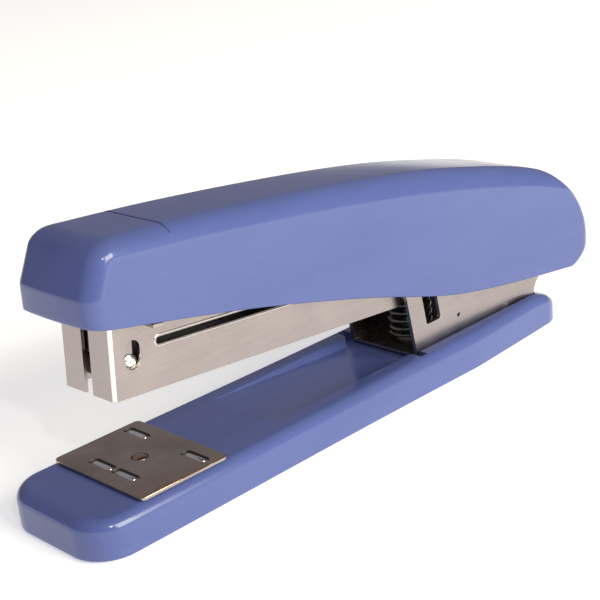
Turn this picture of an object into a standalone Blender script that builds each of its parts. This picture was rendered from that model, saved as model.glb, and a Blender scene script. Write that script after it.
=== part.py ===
"""Desk stapler for 26/6 staples: a blue base and cover, nickel-plated working parts.

Everything is measured in the stapler's own frame. X runs from the nose to the hinge, Y across, Z up
from the desk, and the origin lies under the middle of the whole stapler. "Station" is the distance
behind the front edge of the base. The magazine is drawn lying level, measured from the hinge pin,
and its frame is then tipped nose-up to the rest angle. The cover is drawn half way down its stroke.
"""
from math import asin, atan2, cos, hypot, pi, radians, sin, tan

import bmesh
import bpy

mm = 0.001

# ---- clearances -----------------------------------------------------------------------------
GAP = 0.25 * mm                   # between pieces that lie on each other
RUNNING = 0.2 * mm                # round a pin or a rivet in its hole
SIDE_PLAY = 0.3 * mm              # between sheets that swing past each other

# ---- base -----------------------------------------------------------------------------------
BASE_LENGTH = 144 * mm
BASE_WIDTH = 31.2 * mm
BASE_TOP = 8.7 * mm
BASE_UNDERSIDE = 0.5 * mm         # the blue shell hangs this far above the desk
BASE_NARROWING = 4.2 * mm         # it is this much narrower at the rear end
BASE_REAR_TOP = 5 * mm            # the top falls to this height at the rear end
BASE_FALL = 13 * mm               # length over which it falls
BASE_WAIST = 0.4 * mm             # each side draws in by this at mid length
BASE_FRONT_RADIUS = 8.2 * mm
BASE_REAR_RADIUS = 8 * mm
BASE_TOP_FILLET = 2.6 * mm
BASE_FOOT_FILLET = 0.7 * mm
BASE_WALL = 2.2 * mm
BASE_SKIN = 1.7 * mm              # thickness of the top and of the channel floor

# ---- channel in the base, for the bracket ---------------------------------------------------
CHANNEL_DEPTH = 2.3 * mm
RAMP_LENGTH = 39 * mm             # the floor ramps down over this length
NOTCH_LENGTH = 2.2 * mm           # slot across both rims in front of the bracket

# ---- rubber sole ----------------------------------------------------------------------------
SOLE_THICKNESS = 1.5 * mm

# ---- hinge ----------------------------------------------------------------------------------
HINGE_SETBACK = 1.1 * mm          # pin ahead of the base's rear end
HINGE_HEIGHT = 23.5 * mm
PIN_RADIUS = 2 * mm

# ---- magazine, bent from one sheet ----------------------------------------------------------
SHEET = 0.9 * mm
MAGAZINE_WIDTH = 15.6 * mm        # takes staples 13 mm wide
NOSE_STATION = 14.1 * mm          # nose, behind the front edge of the base
MAGAZINE_DEPTH = 8.6 * mm         # its underside below the hinge
MAGAZINE_RIM = 6.4 * mm           # its upper edge above the hinge
MAGAZINE_EAR = 4.6 * mm           # it reaches this far behind the pin
MAGAZINE_EAR_DEPTH = 5 * mm
NOSE_RIM = 8.9 * mm               # the nose stands a little higher
NOSE_LENGTH = 9 * mm
NOSE_SHEET = 0.7 * mm
NOSE_SLOT = 2.4 * mm
NOSE_OPENING = 8 * mm             # length of the open underside behind the nose
NOSE_WINDOW = 4.8 * mm            # middle of the side window behind the nose
NOSE_WINDOW_WIDTH = 3.5 * mm
NOSE_WINDOW_LOW = -3.4 * mm       # its lower and upper ends, from the hinge
NOSE_WINDOW_HIGH = 2.3 * mm
DEEP_SETBACK = 1.1 * mm           # the deep front part ends this far ahead of the bracket
SHALLOW_DEPTH = 4.2 * mm          # underside of the rear part below the hinge
SEAT_LENGTH = 22 * mm             # floor of the rear part, which the lift spring presses on
REST_TILT = radians(5.1)
BEAD_START = 10.4 * mm            # long slot's front end behind the nose
BEAD_LENGTH = 62 * mm
BEAD_HEIGHT = 1.4 * mm
BEAD_LEVEL = 1.4 * mm             # its top above the hinge

# ---- bracket and lift spring ----------------------------------------------------------------
BRACKET_SHEET = 0.9 * mm
BRACKET_LENGTH = 42.2 * mm        # length of its floor
BRACKET_SETBACK = 7.5 * mm        # rear end of its floor ahead of the pin
BRACKET_RISE = 20.5 * mm          # height of the front edge above the bracket's floor
BRACKET_LEAN = 3 * mm             # the front edge leans forward by this
BRACKET_EAR = 5.4 * mm
WINDOW_PLACE = 6.1 * mm           # middle of the window in each wall, behind the front foot
WINDOW_WIDTH = 4.8 * mm
WINDOW_SILL = 7 * mm              # above the bracket's floor
WINDOW_HEIGHT = 9.5 * mm
PEEPHOLE_RADIUS = 0.5 * mm
PEEPHOLE_PLACE = 14.6 * mm        # behind the front foot
PEEPHOLE_RISE = 5.7 * mm          # above the bracket's floor
RIVET_RADIUS = 1.5 * mm
RIVET_HEAD = 0.8 * mm
RIVET_PLACES = (21 * mm, 6 * mm)  # ahead of the floor's rear end
STIFFENER_SHEET = 1 * mm
SPRING_PLACE = 9.2 * mm           # lift spring's axis behind the front foot
SPRING_RADIUS = 4.8 * mm          # to the middle of its wire
SPRING_WIRE = 0.5 * mm            # radius of the wire, as for every spring here
SPRING_TURNS = 8
BOSS_RISE = 1.2 * mm              # pressed boss that centres the spring

# ---- cover ----------------------------------------------------------------------------------
COVER_WALL = 1.6 * mm
COVER_OVERHANG = 6.2 * mm         # cover's front ahead of the nose
COVER_TAIL = 15.5 * mm            # cover's rear end behind the pin
COVER_FRONT_RADIUS = 3.4 * mm
COVER_REAR_RADIUS = 3.6 * mm
COVER_BOW = 0.9 * mm              # the front face bows forward by this
COVER_TOP_FILLET = 4.4 * mm
COVER_TAPER = 0.6 * mm            # each side leans in by this towards the top
COVER_LIP = 0.34                  # share of the height that the upright lip of the front takes
LIP_LEAN = 0.5 * mm               # the lip leans forward by this
FACE_LEAN = 3.1 * mm              # the face above it leans back by this
TAIL_FULLEST = 0.24               # share of the height at which the tail is fullest
TAIL_TUCK = 5 * mm                # its lower corner is drawn in by this
TAIL_SWEEP = 13 * mm              # its top is drawn in by this
TAIL_NOTCH_TOP = -2 * mm          # it is cut away up to here, from the hinge, over the bracket
# heights above the hinge at shares of the cover's length: the lower edge sweeps down to cover the
# bracket, and the top is nearly straight before it falls away over the hinge
COVER_EDGE = ((0, 3.2 * mm), (0.25, -0.2 * mm), (0.45, -4.3 * mm), (0.65, -9.5 * mm), (0.77, -10.7 * mm),
              (1, -11.3 * mm))
COVER_CROWN = ((0, 18.4 * mm), (0.18, 19.6 * mm), (0.36, 20 * mm), (0.5, 19.8 * mm), (0.61, 19.1 * mm),
               (0.72, 17.6 * mm), (0.84, 15.2 * mm), (0.91, 12.9 * mm), (1, 9.5 * mm))
RIB_THICKNESS = 1.6 * mm          # two ribs under the roof stand on the steel frame
RIB_HALF = 7 * mm
RIB_SHARES = (0.75, 0.3)          # their places, as shares of the way from the pin to the front

# ---- steel frame inside the cover -----------------------------------------------------------
FRAME_SHEET = 0.8 * mm
FRAME_TOP = 14.4 * mm
FRAME_SKIRT = 3.5 * mm            # lower edge of its sides above the hinge
FRAME_ROOM = 1.2 * mm             # left under the cover's roof at the bend
FRAME_BEND = 14 * mm              # ahead of the pin, where its top turns down to the ears
FRAME_EAR = 5 * mm
FRAME_EAR_DEPTH = 4.6 * mm
CLIP_SETBACK = 8.1 * mm           # tab that folds under the cover's edge, behind the nose
CLIP_WIDTH = 2.4 * mm
CLIP_THICKNESS = 0.6 * mm

# ---- driver ---------------------------------------------------------------------------------
DRIVER_THICKNESS = 0.5 * mm
DRIVER_EAR = 4.5 * mm             # its side ears reach this far back
DRIVER_EAR_HEIGHT = 10.5 * mm
DRIVER_TAB = 8.2 * mm             # its top folds back by this
DRIVER_TAB_HALF = 4 * mm
DRIVER_RIVET_SETBACK = 5.6 * mm
DRIVER_RIVET_HEAD = 0.5 * mm
TIP_ABOVE_RAIL = 1 * mm           # its tip clears the staples at rest
STROKE = radians(3.5)             # turn of the cover that drives one staple

# ---- rail, rod, pusher and its spring -------------------------------------------------------
RAIL_SHEET = 0.8 * mm
STAPLE_WIRE = 1.0 * mm            # room for the legs between rail and magazine
STAPLE_SLOT = 1.5 * mm            # room for the driver and one staple behind the nose
RAIL_TOP = 1.6 * mm               # top of the rail below the hinge
RAIL_SLOT = 2 * mm
RAIL_STEP = 1.6 * mm              # its foot stands this much higher over the open underside
RAIL_BRIDGE = 0.5 * mm            # floor across its foot at both ends, for the rivets
RAIL_RIVET_RADIUS = 0.8 * mm
RAIL_RIVET_HEAD = 0.3 * mm
RAIL_RIVET_ROOM = 3 * mm
ROD_HEAD = 0.8 * mm
PUSHER_LENGTH = 12 * mm
PUSHER_SHEET = 0.5 * mm
PUSHER_LIP = 1.6 * mm
PUSHER_LEG = 1.4 * mm             # its legs reach this far below the rod
PUSHER_NECK = (5 * mm, 10 * mm)   # the neck and eye that slide on the rod, from its front
PUSHER_EYE_WALL = 0.45 * mm
PUSHER_SPRING_WIRE = 0.22 * mm
PUSHER_SPRING_TURNS = 22

# ---- spring between magazine and cover ------------------------------------------------------
COVER_SPRING_WIRE = 0.45 * mm
COVER_SPRING_TURNS = 5
COVER_SPRING_ARMS = (31 * mm, 27 * mm)   # lower and upper arm, ahead of the pin

# ---- anvil ----------------------------------------------------------------------------------
ANVIL_LENGTH = 21.2 * mm
ANVIL_MARGIN = 1.4 * mm           # its ends stop this far inside the base's sides
ANVIL_THICKNESS = 0.6 * mm
ANVIL_STATION = 22.7 * mm
ANVIL_CORNER = 1.2 * mm
GROOVE_LENGTH = 7.4 * mm
GROOVE_WIDTH = 2.6 * mm
GROOVE_DEPTH = 0.35 * mm
SHAFT_RADIUS = 1.1 * mm
SHAFT_HEAD = 0.5 * mm             # its heads are this much wider all round
SHAFT_FOOT = 0.6 * mm             # thickness of the lower head
BUTTON_RADIUS = 5.6 * mm
BUTTON_THICKNESS = 1.6 * mm
BUTTON_HEIGHT = 1.7 * mm          # its underside above the desk
BUTTON_ROOM = 1 * mm              # round it in the sole
ANVIL_SPRING_WIRE = 0.3 * mm
ANVIL_SPRING_ROOM = 1.6 * mm      # from the shaft to the middle of its wire
ANVIL_SPRING_TURNS = 2.5

# ---- what follows from these ----------------------------------------------------------------
HINGE_STATION = BASE_LENGTH - HINGE_SETBACK
REACH = HINGE_STATION - NOSE_STATION                 # pin to nose
DEEP_LENGTH = REACH - BRACKET_SETBACK - BRACKET_LENGTH - DEEP_SETBACK
HALF_BASE = BASE_WIDTH / 2
HALF_BASE_REAR = HALF_BASE - BASE_NARROWING / 2
HALF_MAGAZINE = MAGAZINE_WIDTH / 2
MAGAZINE_INSIDE = HALF_MAGAZINE - SHEET
HALF_RAIL = MAGAZINE_INSIDE - STAPLE_WIRE
LEG_INNER = HALF_RAIL + GAP                          # thin legs that run beside the rail
LEG_OUTER = MAGAZINE_INSIDE - GAP
FRAME_INNER = HALF_MAGAZINE + SIDE_PLAY
FRAME_OUTER = FRAME_INNER + FRAME_SHEET
BRACKET_INNER = FRAME_OUTER + SIDE_PLAY
BRACKET_OUTER = BRACKET_INNER + BRACKET_SHEET
COVER_INNER = BRACKET_OUTER + 2 * SIDE_PLAY
HALF_COVER = COVER_INNER + COVER_WALL
BRACKET_REAR = HINGE_STATION - BRACKET_SETBACK
BRACKET_FRONT = BRACKET_REAR - BRACKET_LENGTH
RIVET_STATIONS = [BRACKET_REAR - place for place in RIVET_PLACES]
SPRING_STATION = BRACKET_FRONT + SPRING_PLACE
CHANNEL_FLOOR = BASE_TOP - CHANNEL_DEPTH
CHANNEL_HALF = BRACKET_OUTER + SIDE_PLAY
CHANNEL_FRONT = BRACKET_FRONT - 2 * NOTCH_LENGTH - RAMP_LENGTH
CHANNEL_REAR = BRACKET_REAR + 2.1 * mm
BRACKET_FLOOR = CHANNEL_FLOOR + GAP
STIFFENER_TOP = CHANNEL_FLOOR - BASE_SKIN - GAP
ANVIL_UNDERSIDE = BASE_TOP + GAP
ANVIL_TOP = ANVIL_UNDERSIDE + ANVIL_THICKNESS
ANVIL_WIDTH = BASE_WIDTH - 2 * ANVIL_MARGIN
COVER_REACH = REACH + COVER_OVERHANG
DRIVER_FRONT = -REACH + NOSE_SHEET + 2 * GAP
DRIVER_RIVET = DRIVER_FRONT + DRIVER_RIVET_SETBACK
FRAME_FRONT = DRIVER_FRONT + RUNNING
CLIP_PLACE = -REACH + CLIP_SETBACK
RAIL_FRONT = -REACH + NOSE_SHEET + STAPLE_SLOT
RAIL_REAR = -REACH + DEEP_LENGTH - 2 * mm
RAIL_FOOT = -MAGAZINE_DEPTH + SHEET + GAP
RIVET_CROWN = RAIL_FOOT + RAIL_BRIDGE + GAP + RAIL_RIVET_HEAD    # top of the rivets in the rail
ROD_DEPTH = (RAIL_TOP + RAIL_SHEET - RIVET_CROWN) / 2    # the rod's axis, half way up to the rail's roof
PUSHER_EYE = ROD_DEPTH - RAIL_TOP - RAIL_SHEET - GAP
ROD_RADIUS = PUSHER_EYE - PUSHER_EYE_WALL - RUNNING
RAIL_RIVETS = (-REACH + NOSE_OPENING + 3 * mm, RAIL_REAR - 3.5 * mm)
COVER_TILT = REST_TILT + STROKE / 2
TAIL_HEIGHT = COVER_EDGE[-1][1] + (COVER_CROWN[-1][1] - COVER_EDGE[-1][1]) * TAIL_FULLEST
OVERALL_LENGTH = HINGE_STATION + COVER_TAIL * cos(COVER_TILT) + TAIL_HEIGHT * sin(COVER_TILT)


# ---- materials ------------------------------------------------------------------------------
def material(name, colour, roughness, metallic):
    made = bpy.data.materials.new(name)
    made.use_nodes = True
    shader = made.node_tree.nodes["Principled BSDF"]
    shader.inputs["Base Color"].default_value = (*colour, 1)
    shader.inputs["Roughness"].default_value = roughness
    shader.inputs["Metallic"].default_value = metallic
    return made


def clear_scene():
    for old in list(bpy.data.objects):
        bpy.data.objects.remove(old, do_unlink=True)


clear_scene()
BLUE = material("blue_enamel", (0.17, 0.20, 0.47), 0.2, 0)
NICKEL = material("nickel_plate", (0.62, 0.57, 0.52), 0.3, 1)
CHROME = material("dark_chrome", (0.32, 0.29, 0.26), 0.12, 1)
SPRING_STEEL = material("spring_steel", (0.12, 0.12, 0.13), 0.35, 1)
RUBBER = material("black_rubber", (0.02, 0.02, 0.02), 0.8, 0)
BLACK_PLASTIC = material("black_plastic", (0.03, 0.03, 0.035), 0.4, 0)


# ---- frames that the pieces stand in --------------------------------------------------------
def frame(name, parent=None, place=(0, 0, 0), turn=0):
    """An empty at place in its parent's frame, turned nose-up by turn."""
    empty = bpy.data.objects.new(name, None)
    bpy.context.collection.objects.link(empty)
    empty.parent = parent
    empty.location = place
    empty.rotation_euler = (0, turn, 0)
    return empty


STAPLER = frame("stapler_frame", place=(-OVERALL_LENGTH / 2, 0, 0))
HINGE = frame("hinge_frame", STAPLER, (HINGE_STATION, 0, HINGE_HEIGHT))
MAGAZINE = frame("magazine_frame", HINGE, turn=REST_TILT)
COVER = frame("cover_frame", MAGAZINE, turn=STROKE / 2)
PUSHER = frame("pusher_frame", MAGAZINE, (RAIL_FRONT, 0, 0))
ANVIL = frame("anvil_frame", STAPLER, (ANVIL_STATION, 0, 0))


# ---- shapes ---------------------------------------------------------------------------------
def arc(centre, radius, start, end, steps):
    """Points on an arc from angle start to angle end, both included."""
    angles = [start + (end - start) * i / steps for i in range(steps + 1)]
    return [(centre[0] + radius * cos(a), centre[1] + radius * sin(a)) for a in angles]


def rounded(corners, steps=5):
    """A closed outline through corners (a, b, radius), each rounded with its own radius."""
    outline = []
    for i, (a, b, radius) in enumerate(corners):
        if radius == 0:
            outline.append((a, b))
            continue
        back = corners[i - 1]
        ahead = corners[(i + 1) % len(corners)]
        to_back = atan2(back[1] - b, back[0] - a)
        to_ahead = atan2(ahead[1] - b, ahead[0] - a)
        opening = (to_ahead - to_back + pi) % (2 * pi) - pi
        middle = to_back + opening / 2
        away = radius / sin(abs(opening) / 2)
        centre = (a + away * cos(middle), b + away * sin(middle))
        sweep = (pi - abs(opening)) * (1 if opening < 0 else -1)
        first = middle + pi - sweep / 2
        outline += arc(centre, radius, first, first + sweep, steps)
    return outline


def prism(outline, low, high, axis="Y"):
    """An outline pushed through from low to high along an axis."""
    place = {"Y": lambda a, b, d: (a, d, b), "Z": lambda a, b, d: (a, b, d),
             "X": lambda a, b, d: (d, a, b)}[axis]
    shape = bmesh.new()
    face = shape.faces.new([shape.verts.new(place(a, b, low)) for a, b in outline])
    pushed = bmesh.ops.extrude_face_region(shape, geom=[face])["geom"]
    shift = place(0, 0, high - low)
    bmesh.ops.translate(shape, verts=[v for v in pushed if isinstance(v, bmesh.types.BMVert)], vec=shift)
    bmesh.ops.recalc_face_normals(shape, faces=shape.faces)
    return shape


def box(x0, x1, y0, y1, z0, z1):
    return prism([(x0, z0), (x1, z0), (x1, z1), (x0, z1)], y0, y1)


def round_bar(a, b, radius, low, high, axis, sides=24):
    """A round bar about the axis through (a, b) of the plane across it."""
    return prism(arc((a, b), radius, 0, 2 * pi * (sides - 1) / sides, sides - 1), low, high, axis)


def stack(rings, closed_low=True):
    """A body laid up from rings of equal count, each a front-to-rear half and its mirror image."""
    shape = bmesh.new()
    rows = [[shape.verts.new(p) for p in ring] for ring in rings]
    count = len(rows[0])
    for low, high in zip(rows, rows[1:]):
        for i in range(count):
            j = (i + 1) % count
            shape.faces.new((low[i], low[j], high[j], high[i]))
    for row in (rows[0], rows[-1]):
        if row is rows[0] and not closed_low:
            continue
        for i in range(count // 2 - 1):
            shape.faces.new((row[i], row[i + 1], row[count - 2 - i], row[count - 1 - i]))
    bmesh.ops.recalc_face_normals(shape, faces=shape.faces)
    return shape


def half_outline(front, rear, half, rear_half, front_radius, rear_radius, bow=0, waist=0):
    """The +Y half of a long rounded plan, from its front to its rear end."""
    flat = half - front_radius
    points = [(front, flat * share) for share in ((0.2, 0.45, 0.7) if bow else ())]
    points += arc((front + front_radius, flat), front_radius, pi, pi / 2, 7)
    start, end = front + front_radius, rear - rear_radius
    steps = 18
    for i in range(1, steps):
        share = i / steps
        width = half + (rear_half - half) * max(0, share - 0.78) / 0.22
        points.append((start + (end - start) * share, width - waist * sin(pi * share) ** 2))
    points += arc((end, rear_half - rear_radius), rear_radius, pi / 2, 0, 7)
    return [(x - bow * max(0, 1 - (y / half) ** 2) * max(0, 1 - (x - front) / (4 * front_radius)), y)
            for x, y in points]


def ring(half, height):
    """A closed ring from a half outline, with its height worked out along its length."""
    whole = half + [(x, -y) for x, y in reversed(half)]
    return [(x, y, height(x)) for x, y in whole]


def smooth(value, start, end):
    """0 before start, 1 after end, with an even S between."""
    share = min(1, max(0, (value - start) / (end - start)))
    return share * share * (3 - 2 * share)


# ---- pieces ---------------------------------------------------------------------------------
def piece(name, shape, parent, finish):
    mesh = bpy.data.meshes.new(name)
    shape.to_mesh(mesh)
    shape.free()
    mesh.shade_smooth()
    mesh.set_sharp_from_angle(angle=radians(32))
    mesh.materials.append(finish)
    made = bpy.data.objects.new(name, mesh)
    bpy.context.collection.objects.link(made)
    made.parent = parent
    return made


def combine(target, shape, operation):
    """Cut a shape out of a piece, or join one to it, in the piece's own frame."""
    tool = piece(target.name + "_" + operation.lower(), shape, target.parent, target.active_material)
    tool.hide_render = True
    tool.display_type = "WIRE"
    step = target.modifiers.new(tool.name, "BOOLEAN")
    step.operation = operation
    step.solver = "EXACT"
    step.object = tool


def cut(target, *shapes):
    for shape in shapes:
        combine(target, shape, "DIFFERENCE")


def join(target, *shapes):
    for shape in shapes:
        combine(target, shape, "UNION")


def wire(name, points, radius, parent):
    """A wire of round section through the points, with closed ends."""
    curve = bpy.data.curves.new(name, "CURVE")
    curve.dimensions = "3D"
    curve.bevel_depth = radius
    curve.bevel_resolution = 1
    curve.use_fill_caps = True
    line = curve.splines.new("POLY")
    line.points.add(len(points) - 1)
    for point, place in zip(line.points, points):
        point.co = (*place, 1)
    curve.materials.append(SPRING_STEEL)
    made = bpy.data.objects.new(name, curve)
    bpy.context.collection.objects.link(made)
    made.parent = parent
    return made


def helix(radius, low, high, turns, place, per_turn=14, dead=0.75):
    """Points of a coil spring, with dead turns lying flat at both ends."""
    count = round(turns * per_turn)
    points = []
    for i in range(count + 1):
        turn = turns * i / count
        share = min(1, max(0, (turn - dead) / (turns - 2 * dead)))
        closing = 2 * radius * 0.12
        height = low + closing * min(1, turn / dead)
        height += (high - low - 2 * closing) * share + closing * max(0, (turn - turns + dead) / dead)
        angle = 2 * pi * turn
        points.append(place(radius * cos(angle), radius * sin(angle), height))
    return points


def rivet(name, x, y, low, high, radius, head, parent):
    """A vertical rivet: shank from low to high, with a round head of thickness head at both ends."""
    made = piece(name, round_bar(x, y, radius, low - head, high + head, "Z", 16), parent, NICKEL)
    join(made, round_bar(x, y, radius * 1.9, high + GAP, high + GAP + head, "Z", 16),
         round_bar(x, y, radius * 1.9, low - GAP - head, low - GAP, "Z", 16))
    return made


# ---- base -----------------------------------------------------------------------------------
def base_height(level):
    """Height of the base's skin at a level, falling away towards the rear end."""
    def height(x):
        fall = max(0, (x - (BASE_LENGTH - BASE_FALL)) / BASE_FALL) ** 2
        share = (BASE_REAR_TOP - BASE_UNDERSIDE) / (BASE_TOP - BASE_UNDERSIDE)
        return BASE_UNDERSIDE + (level - BASE_UNDERSIDE) * (1 - fall * (1 - share))
    return height


def base_plan(inset):
    return half_outline(inset, BASE_LENGTH - inset, HALF_BASE - inset, HALF_BASE_REAR - inset,
                        max(BASE_FRONT_RADIUS - inset, 1 * mm), max(BASE_REAR_RADIUS - inset, 1 * mm),
                        waist=BASE_WAIST)


def build_base():
    fillet = min(BASE_TOP_FILLET, HALF_BASE - CHANNEL_HALF - 1 * mm)
    rings = []
    for i in range(4):
        a = pi / 2 * i / 3
        level = BASE_UNDERSIDE + BASE_FOOT_FILLET * (1 - cos(a))
        rings.append(ring(base_plan(BASE_FOOT_FILLET * (1 - sin(a))), base_height(level)))
    for i in range(7):
        a = pi / 2 * i / 6
        rings.append(ring(base_plan(fillet * (1 - cos(a))), base_height(BASE_TOP - fillet * (1 - sin(a)))))
    shell = piece("base_shell", stack(rings), STAPLER, BLUE)

    # the hollow underneath follows the channel's floor
    def ceiling(x):
        deep = CHANNEL_DEPTH * smooth(x, CHANNEL_FRONT - 12 * mm, CHANNEL_FRONT + 2 * mm)
        return min(base_height(BASE_TOP)(x), BASE_TOP - deep) - BASE_SKIN
    inner = base_plan(BASE_WALL)
    cut(shell, stack([ring(inner, lambda x: -1 * mm), ring(inner, ceiling)]))

    # channel: a ramp, then a flat floor for the bracket, and a notch across both rims
    seat_front = BRACKET_FRONT - NOTCH_LENGTH
    above = BASE_TOP + 3 * mm
    ramp = [(CHANNEL_FRONT, BASE_TOP), (seat_front - NOTCH_LENGTH, CHANNEL_FLOOR),
            (seat_front + 1 * mm, CHANNEL_FLOOR), (seat_front + 1 * mm, above),
            (CHANNEL_FRONT - 1 * mm, above), (CHANNEL_FRONT - 1 * mm, BASE_TOP + 0.1 * mm)]
    rim_inside = CHANNEL_HALF - 1 * mm
    notch_side = HALF_BASE - fillet
    cut(shell, prism(ramp, -rim_inside, rim_inside),
        prism(rounded([(seat_front, -CHANNEL_HALF, 0), (CHANNEL_REAR, -CHANNEL_HALF, 2 * mm),
                       (CHANNEL_REAR, CHANNEL_HALF, 2 * mm), (seat_front, CHANNEL_HALF, 0)]),
              CHANNEL_FLOOR, above, "Z"),
        box(seat_front, BRACKET_FRONT, -notch_side, notch_side, CHANNEL_FLOOR, above))
    # holes for the anvil's shaft and the bracket's rivets
    cut(shell, round_bar(ANVIL_STATION, 0, SHAFT_RADIUS + RUNNING, 0, above, "Z"))
    for x in RIVET_STATIONS:
        cut(shell, round_bar(x, 0, RIVET_RADIUS + RUNNING, 0, above, "Z", 16))
    return shell


def build_stiffener():
    """Steel plate under the channel, which the bracket is riveted through."""
    half = CHANNEL_HALF - 1.6 * mm
    outline = rounded([(BRACKET_FRONT, -half, 2 * mm), (BRACKET_REAR - 1 * mm, -half, 2 * mm),
                       (BRACKET_REAR - 1 * mm, half, 2 * mm), (BRACKET_FRONT, half, 2 * mm)])
    plate = piece("base_stiffener", prism(outline, STIFFENER_TOP - STIFFENER_SHEET, STIFFENER_TOP, "Z"),
                  STAPLER, NICKEL)
    for x in RIVET_STATIONS:
        cut(plate, round_bar(x, 0, RIVET_RADIUS + RUNNING, 0, BASE_TOP, "Z", 16))


def build_sole():
    """Rubber sole pressed into the underside, with a finger hole under the anvil."""
    plan = base_plan(BASE_WALL + GAP)
    sole = piece("rubber_sole", stack([ring(plan, lambda x: 0), ring(plan, lambda x: SOLE_THICKNESS)]),
                 STAPLER, RUBBER)
    cut(sole, round_bar(ANVIL_STATION, 0, BUTTON_RADIUS + BUTTON_ROOM, -1 * mm, 2 * SOLE_THICKNESS, "Z", 40))


# ---- bracket --------------------------------------------------------------------------------
def build_bracket():
    floor = BRACKET_FLOOR
    top = floor + BRACKET_RISE
    lean = BRACKET_LEAN / BRACKET_RISE
    pin_x, pin_z = HINGE_STATION, HINGE_HEIGHT
    side = rounded([(BRACKET_FRONT, floor, 0.6 * mm), (BRACKET_REAR, floor, 0.6 * mm),
                    (BRACKET_REAR + 1 * mm, BASE_TOP + 2 * mm, 4 * mm),
                    (pin_x + BRACKET_EAR * 0.55, pin_z - BRACKET_EAR, 3 * mm),
                    (pin_x + BRACKET_EAR, pin_z + BRACKET_EAR * 0.2, 3 * mm),
                    (pin_x + BRACKET_EAR * 0.2, pin_z + BRACKET_EAR, 3.4 * mm),
                    (pin_x - 20 * mm, pin_z + 1 * mm, 30 * mm),
                    (BRACKET_FRONT - BRACKET_LEAN, top, 3 * mm)])
    bracket = piece("rear_bracket", prism(side, -BRACKET_OUTER, BRACKET_OUTER), STAPLER, NICKEL)
    cut(bracket, box(0, BASE_LENGTH * 2, -BRACKET_INNER, BRACKET_INNER, floor + BRACKET_SHEET, 1))
    middle = BRACKET_FRONT + WINDOW_PLACE
    window = [(middle + side_x * WINDOW_WIDTH / 2 - lean * rise, floor + WINDOW_SILL + rise, 0.6 * mm)
              for side_x, rise in ((-1, 0), (1, 0), (1, WINDOW_HEIGHT), (-1, WINDOW_HEIGHT))]
    cut(bracket, prism(rounded(window, 3), -HALF_BASE, HALF_BASE),
        round_bar(BRACKET_FRONT + PEEPHOLE_PLACE, floor + PEEPHOLE_RISE, PEEPHOLE_RADIUS,
                  -HALF_BASE, HALF_BASE, "Y", 12),
        round_bar(pin_x, pin_z, PIN_RADIUS + RUNNING, -HALF_BASE, HALF_BASE, "Y"))
    for x in RIVET_STATIONS:
        cut(bracket, round_bar(x, 0, RIVET_RADIUS + RUNNING, 0, floor + 2 * mm, "Z", 16))
    # pressed boss that centres the lift spring
    join(bracket, round_bar(SPRING_STATION, 0, SPRING_RADIUS - SPRING_WIRE - 2 * GAP,
                            floor + BRACKET_SHEET / 2, floor + BRACKET_SHEET + BOSS_RISE, "Z"))
    for i, x in enumerate(RIVET_STATIONS):
        rivet(f"bracket_rivet_{i + 1}", x, 0, STIFFENER_TOP - STIFFENER_SHEET, floor + BRACKET_SHEET,
              RIVET_RADIUS, RIVET_HEAD, STAPLER)
    piece("hinge_pin", round_bar(0, 0, PIN_RADIUS, -BRACKET_OUTER - RUNNING, BRACKET_OUTER + RUNNING, "Y"),
          HINGE, NICKEL)


def build_lift_spring():
    """Coil spring that holds the magazine's nose up off the base."""
    low = BRACKET_FLOOR + BRACKET_SHEET + GAP + SPRING_WIRE
    back = HINGE_STATION - SPRING_STATION
    seat = HINGE_HEIGHT - SHALLOW_DEPTH * cos(REST_TILT) + back * sin(REST_TILT)
    slant = tan(REST_TILT) * SPRING_RADIUS
    high = seat - GAP - SPRING_WIRE - slant
    wire("lift_spring", helix(SPRING_RADIUS, low, high, SPRING_TURNS,
                              lambda a, b, h: (SPRING_STATION + a, b, h)), SPRING_WIRE, STAPLER)


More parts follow.
